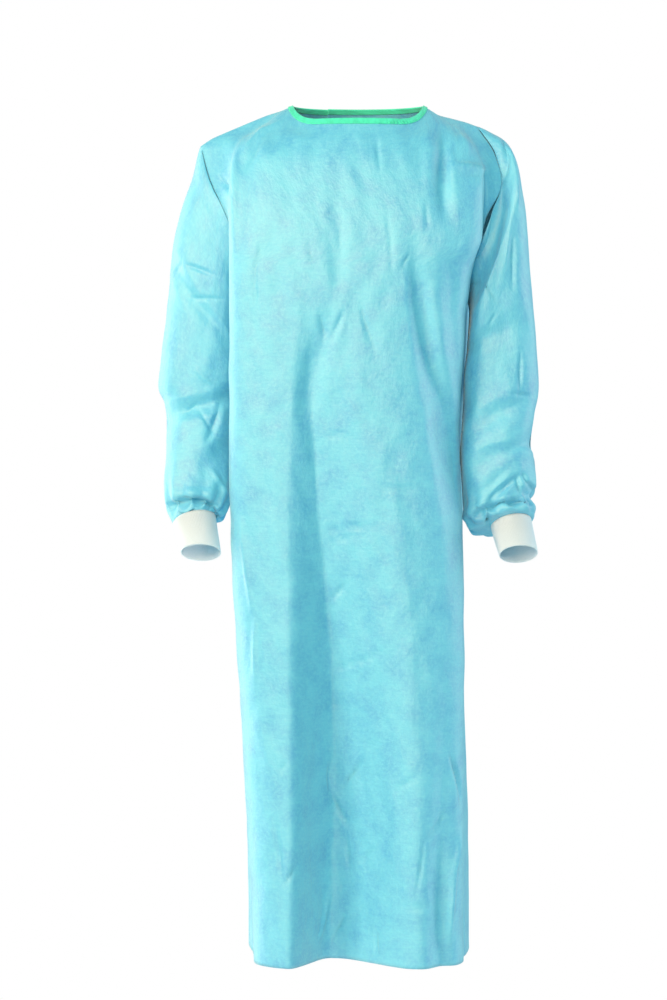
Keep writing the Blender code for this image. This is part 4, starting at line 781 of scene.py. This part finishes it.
# ------------------------------------------------------------------ making a sheet
def cloth_piece(name, points, finish, thickness, tube=False):
    """A thin shell on a grid of points, with a UV map that is the flat cloth in metres."""
    rows, columns = points.shape[:2]
    across = np.array([run_length(row) for row in points])
    across -= across[:, columns // 2][:, None]
    down = run_length(points[:, columns // 2])
    mesh = bmesh.new()
    flat = mesh.loops.layers.uv.new("flat cloth")
    made = bmesh.ops.create_grid(mesh, x_segments=columns - 1, y_segments=rows - 1, size=0.5)["verts"]
    spots = {}
    for vertex in made:
        column = round((vertex.co.x + 0.5) * (columns - 1))
        row = round((0.5 - vertex.co.y) * (rows - 1))
        spots[vertex] = (across[row, column], -down[row])
        vertex.co = points[row, column]
    for face in mesh.faces:
        for corner in face.loops:
            corner[flat].uv = spots[corner.vert]
    if tube:
        bmesh.ops.remove_doubles(mesh, verts=mesh.verts, dist=1e-6)
    piece = finished(name, mesh, finish)
    shell = piece.modifiers.new("cloth thickness", "SOLIDIFY")
    shell.thickness = thickness
    shell.offset = -1.0
    return piece


def finished(name, mesh, finish):
    data = bpy.data.meshes.new(name)
    mesh.to_mesh(data)
    mesh.free()
    data.shade_smooth()
    data.materials.append(finish)
    piece = bpy.data.objects.new(name, data)
    gown_collection().objects.link(piece)
    return piece


def gown_collection():
    collection = bpy.data.collections.get("finished gown")
    if collection is None:
        collection = bpy.data.collections.new("finished gown")
        bpy.context.scene.collection.children.link(collection)
    return collection


def dressed(piece, node):
    """Puts a finished piece in the place of its plain solid."""
    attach(piece, BODY)
    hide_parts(node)


# ------------------------------------------------------------------ user settings
class GownSizes(bpy.types.PropertyGroup):
    """Real sizes of the cloth and the sewing."""

    cloth: FloatProperty(name="Cloth", description="Thickness of the gown's cloth",
                         default=0.0005, min=0.0001, max=0.002, unit="LENGTH")
    knit: FloatProperty(name="Knit", description="Thickness of the cuffs' knit",
                        default=0.0012, min=0.0005, max=0.002, unit="LENGTH")
    rib_depth: FloatProperty(name="Rib depth", description="How far the ribs of the cuffs stand out",
                             default=0.00035, min=0.0, max=0.001, unit="LENGTH")
    ribs: IntProperty(name="Ribs", description="Ribs round each cuff", default=84, min=20, max=120)
    tape: FloatProperty(name="Tape", description="Thickness of the neck tape",
                        default=0.0006, min=0.0002, max=0.001, unit="LENGTH")
    stitch: FloatProperty(name="Stitch length", description="Length of one stitch on the neck tape",
                          default=0.0030, min=0.001, max=0.006, unit="LENGTH")
    thread: FloatProperty(name="Thread", description="Thickness of the sewing thread",
                          default=0.0004, min=0.0001, max=0.001, unit="LENGTH")


class GownColours(bpy.types.PropertyGroup):
    """Colours of the cloth, the knit and the tape."""

    cloth: FloatVectorProperty(name="Cloth", description="Colour of the gown's cloth",
                               default=(0.125, 0.60, 0.84), min=0, max=1, subtype="COLOR")
    cloth_deep: FloatVectorProperty(name="Cloth, denser", description="Colour where its fibres lie denser",
                                    default=(0.065, 0.43, 0.76), min=0, max=1, subtype="COLOR")
    knit: FloatVectorProperty(name="Knit", description="Colour of the cuffs",
                              default=(0.95, 0.90, 0.98), min=0, max=1, subtype="COLOR")
    tape: FloatVectorProperty(name="Tape", description="Colour of the neck tape",
                              default=(0.085, 0.90, 0.56), min=0, max=1, subtype="COLOR")
    floor: FloatVectorProperty(name="Floor", description="Colour of the floor",
                               default=(0.86, 0.87, 0.88), min=0, max=1, subtype="COLOR")


class GownStage(bpy.types.PropertyGroup):
    """The floor, the lights and the camera."""

    floor_drop: FloatProperty(name="Floor", description="How far the floor lies below the neck",
                              default=1.55, min=1.3, max=2.0, unit="LENGTH")
    floor_half: FloatProperty(name="Floor size", description="Half the width of the floor",
                              default=1.0, min=0.5, max=5.0, unit="LENGTH")
    key: FloatProperty(name="Key light", description="Power of the light from the front left",
                       default=114.0, min=0.0, unit="POWER")
    fill: FloatProperty(name="Fill light", description="Power of the light from the front",
                        default=68.0, min=0.0, unit="POWER")
    rim: FloatProperty(name="Edge lights", description="Power of the lights behind the gown's two sides",
                       default=42.0, min=0.0, unit="POWER")
    sky: FloatProperty(name="Room light", description="Strength of the light from all round",
                       default=0.52, min=0.0)
    distance: FloatProperty(name="Camera distance",
                            description="How far in front of the gown the camera stands",
                            default=4.5, min=1.0, max=20.0, unit="LENGTH")
    camera_x: FloatProperty(name="Camera across", description="Camera's place across the gown",
                            default=-0.03695, unit="LENGTH")
    camera_z: FloatProperty(name="Camera height", description="Camera's height above the neck",
                            default=-0.5172, unit="LENGTH")
    pitch: FloatProperty(name="Camera pitch", description="How far the camera looks down",
                         default=math.radians(0.96), subtype="ANGLE")
    lens: FloatProperty(name="Lens", description="Focal length in millimetres", default=107.43, min=10)


# ------------------------------------------------------------------ materials
NOISE_RANGE = (0.3, 0.7)      # where most of a noise's values lie
PALE_FIBRES = (0.55, 1.0, 1.0)
PALE_SHARE = 0.15             # share of that colour in the cloth's lightest fibres
FIBRES_SEEN = (0.6, 0.6, 0.6)  # how strongly the lightest fibres show, from black to white
ROWS_SEEN = (0.22, 0.22, 0.22)  # and the darkest of the faint rows
BLACK = (0.0, 0.0, 0.0)


class Finish:
    """A material and short ways to add its nodes."""

    def __init__(self, name):
        self.material = bpy.data.materials.new(name)
        self.material.use_nodes = True
        self.nodes = self.material.node_tree.nodes
        self.links = self.material.node_tree.links
        self.shader = self.nodes["Principled BSDF"]

    def set(self, **values):
        for name, value in values.items():
            self.shader.inputs[name.replace("_", " ")].default_value = value

    def join(self, source, target):
        self.links.new(source, target)

    def cloth_place(self, across=1.0, down=1.0):
        """The flat cloth's coordinates, scaled across and down the cloth."""
        uv = self.nodes.new("ShaderNodeUVMap")
        uv.uv_map = "flat cloth"
        place = self.nodes.new("ShaderNodeMapping")
        place.inputs["Scale"].default_value = (across, down, 1.0)
        self.join(uv.outputs["UV"], place.inputs["Vector"])
        return place.outputs["Vector"]

    def noise(self, place, scale, detail=4.0, roughness=0.6, kind="FBM"):
        noise = self.nodes.new("ShaderNodeTexNoise")
        noise.noise_type = kind
        noise.inputs["Scale"].default_value = scale
        noise.inputs["Detail"].default_value = detail
        noise.inputs["Roughness"].default_value = roughness
        self.join(place, noise.inputs["Vector"])
        return noise.outputs[0]

    def ramp(self, value, low, high, first, last):
        ramp = self.nodes.new("ShaderNodeValToRGB")
        ramp.color_ramp.elements[0].position = low
        ramp.color_ramp.elements[1].position = high
        ramp.color_ramp.elements[0].color = (*first, 1.0)
        ramp.color_ramp.elements[1].color = (*last, 1.0)
        self.join(value, ramp.inputs["Fac"])
        return ramp.outputs["Color"]

    def mix(self, factor, first, colour):
        """Blends a colour over what the first socket gives, as strongly as the factor socket says."""
        mix = self.nodes.new("ShaderNodeMix")
        mix.data_type = "RGBA"
        self.join(factor, mix.inputs["Factor"])
        self.join(first, mix.inputs[6])
        mix.inputs[7].default_value = (*colour, 1.0)
        return mix.outputs[2]

    def bump(self, height, strength, distance, under=None):
        bump = self.nodes.new("ShaderNodeBump")
        bump.inputs["Strength"].default_value = strength
        bump.inputs["Distance"].default_value = distance
        self.join(height, bump.inputs["Height"])
        if under is not None:
            self.join(under, bump.inputs["Normal"])
        return bump.outputs["Normal"]

    def span(self, value, low, high, socket):
        """Feeds a value, spread between low and high, to a socket of the shader."""
        spread = self.nodes.new("ShaderNodeMapRange")
        spread.inputs["From Min"].default_value = NOISE_RANGE[0]
        spread.inputs["From Max"].default_value = NOISE_RANGE[1]
        spread.inputs["To Min"].default_value = low
        spread.inputs["To Max"].default_value = high
        self.join(value, spread.inputs["Value"])
        self.join(spread.outputs["Result"], self.shader.inputs[socket])


def nonwoven_cloth(colours):
    """Spun-bonded cloth: matted fibres, faint rows across, fine crumples and a soft sheen."""
    finish = Finish("nonwoven cloth")
    even = finish.cloth_place()
    fibres = finish.noise(even, scale=190.0, detail=6.0, roughness=0.75)
    rows = finish.noise(finish.cloth_place(down=7.0), scale=45.0)
    patches = finish.noise(even, scale=26.0, detail=6.0, roughness=0.62)
    crumples = finish.noise(finish.cloth_place(down=0.55), scale=30.0, detail=5.0)
    lines = finish.noise(finish.cloth_place(down=0.7), scale=9.0, detail=1.5, roughness=0.5,
                         kind="RIDGED_MULTIFRACTAL")
    deep, plain = tuple(colours.cloth_deep), tuple(colours.cloth)
    light = tuple((1 - PALE_SHARE) * part + PALE_SHARE * pale for part, pale in zip(plain, PALE_FIBRES))
    colour = finish.ramp(patches, 0.30, 0.58, deep, plain)
    colour = finish.mix(finish.ramp(fibres, 0.44, 0.62, BLACK, FIBRES_SEEN), colour, light)
    colour = finish.mix(finish.ramp(rows, 0.34, 0.56, ROWS_SEEN, BLACK), colour, deep)
    finish.join(colour, finish.shader.inputs["Base Color"])
    finish.set(Sheen_Weight=0.3, Sheen_Roughness=0.5, Sheen_Tint=(1.0, 0.92, 0.60, 1.0))
    finish.set(IOR=1.75, Specular_IOR_Level=1.0, Specular_Tint=(1.0, 0.90, 0.50, 1.0))
    finish.span(patches, 0.52, 0.64, "Roughness")
    normal = finish.bump(crumples, strength=0.6, distance=0.0045)
    normal = finish.bump(lines, strength=0.5, distance=0.0020, under=normal)
    normal = finish.bump(rows, strength=0.2, distance=0.0006, under=normal)
    normal = finish.bump(fibres, strength=0.7, distance=0.0008, under=normal)
    finish.join(normal, finish.shader.inputs["Normal"])
    return finish.material


def cuff_knit(colours):
    """Fine white knit: small loops over the modelled ribs."""
    finish = Finish("cuff knit")
    loops = finish.nodes.new("ShaderNodeTexVoronoi")
    loops.inputs["Scale"].default_value = 900.0
    loops.inputs["Randomness"].default_value = 0.35
    finish.join(finish.cloth_place(down=1.6), loops.inputs["Vector"])
    fuzz = finish.noise(finish.cloth_place(), scale=500.0)
    knit = tuple(colours.knit)
    dark = tuple(part * 0.86 for part in knit)
    colour = finish.ramp(loops.outputs["Distance"], 0.1, 0.8, knit, dark)
    finish.join(colour, finish.shader.inputs["Base Color"])
    finish.set(Roughness=0.85, Sheen_Weight=0.4, Sheen_Roughness=0.6, Specular_IOR_Level=0.25)
    finish.set(Subsurface_Weight=1.0, Subsurface_Radius=(1.0, 1.0, 1.0), Subsurface_Scale=0.006)
    normal = finish.bump(loops.outputs["Distance"], strength=0.35, distance=0.0003)
    normal = finish.bump(fuzz, strength=0.25, distance=0.0002, under=normal)
    finish.join(normal, finish.shader.inputs["Normal"])
    return finish.material


def neck_tape(colours):
    """Soft folded tape with a fine cross grain."""
    finish = Finish("neck tape")
    grain = finish.noise(finish.cloth_place(across=6.0), scale=180.0)
    patches = finish.noise(finish.cloth_place(), scale=60.0)
    tape = tuple(colours.tape)
    deep = tuple(part * 0.72 for part in tape)
    finish.join(finish.ramp(patches, 0.3, 0.65, deep, tape), finish.shader.inputs["Base Color"])
    finish.set(Roughness=0.6, Sheen_Weight=0.3, Sheen_Roughness=0.5, Specular_IOR_Level=0.4)
    finish.join(finish.bump(grain, strength=0.35, distance=0.0003), finish.shader.inputs["Normal"])
    return finish.material


def sewing_thread(colours):
    finish = Finish("sewing thread")
    coordinates = finish.nodes.new("ShaderNodeTexCoord")
    twist = finish.noise(coordinates.outputs["Object"], scale=1800.0, detail=2.0)
    tape = tuple(colours.tape)
    finish.join(finish.ramp(twist, 0.35, 0.65, tuple(part * 0.6 for part in tape), tape),
                finish.shader.inputs["Base Color"])
    finish.set(Roughness=0.5, Sheen_Weight=0.2)
    finish.join(finish.bump(twist, strength=0.4, distance=0.0001), finish.shader.inputs["Normal"])
    return finish.material


def shared_finish(name, maker, context):
    return bpy.data.materials.get(name) or maker(context.scene.gown_colours)


# ------------------------------------------------------------------ the pieces
class GOWN_OT_front(bpy.types.Operator):
    """Make the front panel from seam to seam, with its long folds and small creases"""
    bl_idname = "gown.front"
    bl_label = "Front panel"

    def execute(self, context):
        cloth = shared_finish("nonwoven cloth", nonwoven_cloth, context)
        points = creased(front_grid(), "front", "front")
        points = rippled(points, ("first column", "last column", "first row"))
        piece = cloth_piece("gown_front", points, cloth, context.scene.gown_sizes.cloth)
        dressed(piece, "front")
        return {"FINISHED"}


class GOWN_OT_backs(bpy.types.Operator):
    """Make the two back panels, the right one lapping over the left one"""
    bl_idname = "gown.backs"
    bl_label = "Back panels"

    def execute(self, context):
        cloth = shared_finish("nonwoven cloth", nonwoven_cloth, context)
        seams = {"back_right": "last column", "back_left": "first column"}
        for node, points in zip(seams, back_grids()):
            points = creased(points, "back", "back")
            points = rippled(points, (seams[node], "first row"))
            piece = cloth_piece("gown_" + node, points, cloth, context.scene.gown_sizes.cloth)
            dressed(piece, node)
        return {"FINISHED"}


class GOWN_OT_sleeves(bpy.types.Operator):
    """Make both sleeves, from the armholes to the gathers at the cuffs"""
    bl_idname = "gown.sleeves"
    bl_label = "Sleeves"

    def execute(self, context):
        cloth = shared_finish("nonwoven cloth", nonwoven_cloth, context)
        for side in ("right", "left"):
            node = "sleeve_" + side
            points = creased(sleeve_grid(side), node, "front", tube=True)
            points = creased(points, node + "_back", "back", tube=True)
            points = rippled(points, ("first row", "last row"), tube=True)
            piece = cloth_piece("gown_" + node, points, cloth, context.scene.gown_sizes.cloth, tube=True)
            dressed(piece, node)
        return {"FINISHED"}


class GOWN_OT_cuffs(bpy.types.Operator):
    """Make the two ribbed, knitted cuffs"""
    bl_idname = "gown.cuffs"
    bl_label = "Knitted cuffs"

    def execute(self, context):
        sizes = context.scene.gown_sizes
        knit = shared_finish("cuff knit", cuff_knit, context)
        turn = turns(RIB_COLUMNS * sizes.ribs)
        along = np.linspace(0, 1, CUFF_RINGS + 1)
        for side in ("right", "left"):
            rings = facing_out(side, cuff_rings(side, along, turn))
            ribs = sizes.rib_depth * (np.cos(sizes.ribs * turn) - 1) / 2
            rings = rings + outward_steps(rings, True) * ribs[:, None]
            piece = cloth_piece("gown_cuff_" + side, rings, knit, sizes.knit, tube=True)
            dressed(piece, "cuff_" + side)
        return {"FINISHED"}


TAPE_OFF = 0.0011             # how far the tape's two outer faces lie from the face of the panels
TAPE_SIDE = 9                 # rows of tape on each side of the cloth
TAPE_ARCH = 5                 # rows over the neck edge
TAPE_SMOOTH = 5               # points over which the tape's way out of the cloth is evened
PUCKER = 0.00025              # waves that the stitches draw into the tape
PUCKER_PITCH = 0.0075
PUCKER_SWAY = 2.0             # how unevenly they follow each other, in radians
PUCKER_SWAY_RATE = 60.0       # and how soon that changes, in radians a metre
PUCKER_LOW = 0.15             # how far below the tape's middle they are highest, as a share of its height

# The tape is gathered on one stretch of the front, between two places across.
TAPE_GATHER_FROM, TAPE_GATHER_TO = 0.035, 0.085
TAPE_GATHER_FADE = 0.01
TAPE_GATHER_AHEAD = 0.01      # only where the neck edge lies this far in front of the shoulders
TAPE_GATHER = 0.0009
TAPE_GATHER_PITCH = 0.0052


def tape_lines():
    """The neck edge and the tape's lower edge on the panels, with the way out of the cloth at each."""
    levels = np.array([0.0, BINDING_LEVEL / 2, BINDING_LEVEL, BINDING_LEVEL * 1.5])
    right, left = back_grids(levels)
    ring = np.concatenate([right[:, :-1], front_grid(levels), left[:, 1:]], axis=1)
    steps = outward_steps(ring, False)
    window = np.ones(TAPE_SMOOTH) / TAPE_SMOOTH
    padded = [np.pad(steps[2, :, axis], TAPE_SMOOTH // 2, mode="edge") for axis in range(3)]
    smooth = np.array([np.convolve(values, window, "valid") for values in padded]).T
    smooth /= np.linalg.norm(smooth, axis=1, keepdims=True)
    return ring[0], ring[2], smooth


def tape_grid():
    """Rows of the folded tape: up the inside, over the neck edge and down the outside."""
    edge, lower, out = tape_lines()
    up = edge - lower
    height = np.linalg.norm(up, axis=1, keepdims=True)
    up /= height
    length = run_length(edge)
    sway = PUCKER_SWAY * np.sin(length * PUCKER_SWAY_RATE)
    pucker = PUCKER * np.sin(2 * math.pi * length / PUCKER_PITCH + sway)
    gathered = ease((edge[:, 0] - TAPE_GATHER_FROM) / TAPE_GATHER_FADE)
    gathered *= ease((TAPE_GATHER_TO - edge[:, 0]) / TAPE_GATHER_FADE)
    gathered *= edge[:, 1] < -TAPE_GATHER_AHEAD
    pucker = pucker + TAPE_GATHER * gathered * np.sin(2 * math.pi * length / TAPE_GATHER_PITCH)
    rows = []
    for share in np.linspace(0, 1, TAPE_SIDE):
        rows.append(lower + up * height * share - out * TAPE_OFF)
    for angle in np.linspace(math.pi, 0, TAPE_ARCH + 2)[1:-1]:
        rows.append(edge + out * (math.cos(angle) * TAPE_OFF) + up * (math.sin(angle) * TAPE_OFF))
    for share in np.linspace(1, 0, TAPE_SIDE):
        wave = pucker * math.sin(math.pi * min(share + PUCKER_LOW, 1.0))
        rows.append(lower + up * height * share + out * (TAPE_OFF + wave)[:, None])
    return np.array(rows)


STITCH_ROW = -3               # row of the tape that is sewn through, counted from its lower edge outside
STITCH_SHARE = 0.42           # half of what shows of a stitch, as a share of the stitch length
THREAD_FLAT = 0.8             # height of the pressed thread as a share of its width
THREAD_LIFT = 0.2             # how far its middle lies above the tape, as a share of its width
THREAD_AHEAD = 0.001          # a stitch points at the place this far on along its row


class GOWN_OT_binding(bpy.types.Operator):
    """Fold the tape over the neck edge and sew it down"""
    bl_idname = "gown.binding"
    bl_label = "Neck tape"

    def execute(self, context):
        sizes = context.scene.gown_sizes
        tape = shared_finish("neck tape", neck_tape, context)
        rows = tape_grid()
        piece = cloth_piece("gown_neck_binding", rows, tape, sizes.tape)
        line, out = rows[STITCH_ROW], outward_steps(rows, False)[STITCH_ROW]
        thread = stitches("gown_neck_stitches", line, out, context)
        dressed(piece, "neck_binding")
        return {"FINISHED"}


def stitches(name, line, out, context):
    """A row of stitches along a line of points, as one mesh."""
    sizes = context.scene.gown_sizes
    length = run_length(line)
    mesh = bmesh.new()

    def at(place, values):
        return np.array([np.interp(place, length, values[:, axis]) for axis in range(3)])

    size = Matrix.Diagonal((sizes.stitch * STITCH_SHARE, sizes.thread, sizes.thread * THREAD_FLAT, 1.0))
    for place in np.arange(sizes.stitch, length[-1] - sizes.stitch, sizes.stitch):
        middle = at(place, line)
        along = Vector(at(place + THREAD_AHEAD, line) - middle).normalized()
        upward = Vector(at(place, out)).normalized()
        sideways = upward.cross(along).normalized()
        turned = Matrix((along, sideways, along.cross(sideways))).transposed().to_4x4()
        moved = Matrix.Translation(Vector(middle) + upward * sizes.thread * THREAD_LIFT)
        bmesh.ops.create_uvsphere(mesh, u_segments=6, v_segments=5, radius=1.0,
                                  matrix=moved @ turned @ size)
    thread = finished(name, mesh, shared_finish("sewing thread", sewing_thread, context))
    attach(thread, BODY)
    return thread


# ------------------------------------------------------------------ the stage
WHITE = (1.0, 1.0, 1.0)
ROOM_COLOUR = (0.31, 0.84, 1.0)

# Each light's place, the point it is aimed at, its width and height, the setting that gives its
# power, the share of that power it has, and its tint.
LIGHTS = {
    "key light": ((-2.9, -2.4, 0.9), (0.0, 0.0, -0.5), 1.3, 2.2, "key", 1.0, (1.0, 0.79, 0.55)),
    "fill light": ((-0.3, -3.4, 0.5), (0.0, 0.0, -0.25), 1.0, 1.2, "fill", 1.0, (1.0, 0.78, 0.52)),
    "left edge light": ((-2.2, 1.2, -0.5), (-0.1, 0.0, -0.7), 0.8, 2.4, "rim", 1.0, WHITE),
    "right edge light": ((2.6, 0.4, -0.1), (0.2, 0.0, -0.5), 0.8, 2.4, "rim", 0.7, WHITE),
}


def area_light(name, place, aim, width, height, power, tint):
    data = bpy.data.lights.new(name, "AREA")
    data.shape = "RECTANGLE"
    data.color = tint
    data.size, data.size_y, data.energy = width, height, power
    light = bpy.data.objects.new(name, data)
    light.location = place
    light.rotation_euler = (Vector(aim) - Vector(place)).to_track_quat("-Z", "Y").to_euler()
    bpy.context.scene.collection.objects.link(light)


class GOWN_OT_stage(bpy.types.Operator):
    """Set up the floor, the soft studio light and the camera"""
    bl_idname = "gown.stage"
    bl_label = "Floor, lights and camera"

    def execute(self, context):
        stage = context.scene.gown_stage
        self.floor(stage, context.scene.gown_colours)
        self.room(context, stage)
        powers = {"key": stage.key, "fill": stage.fill, "rim": stage.rim}
        for name, (place, aim, width, height, setting, share, tint) in LIGHTS.items():
            area_light(name, place, aim, width, height, share * powers[setting], tint)
        self.camera(context, stage)
        return {"FINISHED"}

    def floor(self, stage, colours):
        mesh = bmesh.new()
        bmesh.ops.create_grid(mesh, x_segments=8, y_segments=8, size=stage.floor_half,
                              matrix=Matrix.Translation((0.0, 0.0, -stage.floor_drop)))
        finish = Finish("pale floor")
        coordinates = finish.nodes.new("ShaderNodeTexCoord")
        grain = finish.noise(coordinates.outputs["Object"], scale=30.0)
        pale = tuple(colours.floor)
        finish.join(finish.ramp(grain, 0.3, 0.7, tuple(part * 0.97 for part in pale), pale),
                    finish.shader.inputs["Base Color"])
        finish.set(Roughness=0.8)
        finished("floor", mesh, finish.material)

    def room(self, context, stage):
        """Even, cool light from all round; the camera sees plain white in its place."""
        world = bpy.data.worlds.new("white room")
        context.scene.world = world
        world.use_nodes = True
        nodes, links = world.node_tree.nodes, world.node_tree.links
        even = nodes["Background"]
        even.inputs["Color"].default_value = (*ROOM_COLOUR, 1.0)
        even.inputs["Strength"].default_value = stage.sky
        white = nodes.new("ShaderNodeBackground")
        white.inputs["Color"].default_value = (*WHITE, 1.0)
        seen = nodes.new("ShaderNodeLightPath")
        mix = nodes.new("ShaderNodeMixShader")
        links.new(seen.outputs["Is Camera Ray"], mix.inputs["Fac"])
        links.new(even.outputs["Background"], mix.inputs[1])
        links.new(white.outputs["Background"], mix.inputs[2])
        links.new(mix.outputs["Shader"], nodes["World Output"].inputs["Surface"])
        context.scene.view_settings.view_transform = "Standard"

    def camera(self, context, stage):
        data = bpy.data.cameras.new("camera")
        data.lens = stage.lens
        camera = bpy.data.objects.new("camera", data)
        camera.location = (stage.camera_x, -stage.distance, stage.camera_z)
        camera.rotation_euler = (math.pi / 2 - stage.pitch, 0.0, 0.0)
        context.scene.collection.objects.link(camera)
        context.scene.camera = camera


# ------------------------------------------------------------------ the add-on
OPERATORS = (GOWN_OT_front, GOWN_OT_backs, GOWN_OT_sleeves, GOWN_OT_cuffs, GOWN_OT_binding, GOWN_OT_stage)


class GOWN_PT_panel(bpy.types.Panel):
    """Sizes, colours and pieces of the gown"""
    bl_idname = "GOWN_PT_panel"
    bl_label = "Surgical gown"
    bl_space_type = "VIEW_3D"
    bl_region_type = "UI"
    bl_category = "Gown"

    def draw(self, context):
        layout = self.layout
        for group in (context.scene.gown_sizes, context.scene.gown_colours, context.scene.gown_stage):
            box = layout.box()
            for name in group.__annotations__:
                box.prop(group, name)
        for operator in OPERATORS:
            layout.operator(operator.bl_idname)


CLASSES = (GownSizes, GownColours, GownStage, *OPERATORS, GOWN_PT_panel)


def register():
    for item in CLASSES:
        bpy.utils.register_class(item)
    bpy.types.Scene.gown_sizes = PointerProperty(type=GownSizes)
    bpy.types.Scene.gown_colours = PointerProperty(type=GownColours)
    bpy.types.Scene.gown_stage = PointerProperty(type=GownStage)


def unregister():
    del bpy.types.Scene.gown_stage
    del bpy.types.Scene.gown_colours
    del bpy.types.Scene.gown_sizes
    for item in reversed(CLASSES):
        bpy.utils.unregister_class(item)


def plain(box):
    return [list(corner) for corner in box]


def main():
    register()
    bpy.ops.gown.front()
    bpy.ops.gown.backs()
    bpy.ops.gown.sleeves()
    bpy.ops.gown.cuffs()
    bpy.ops.gown.binding()
    bpy.ops.gown.stage()


if __name__ == "__main__":
    main()
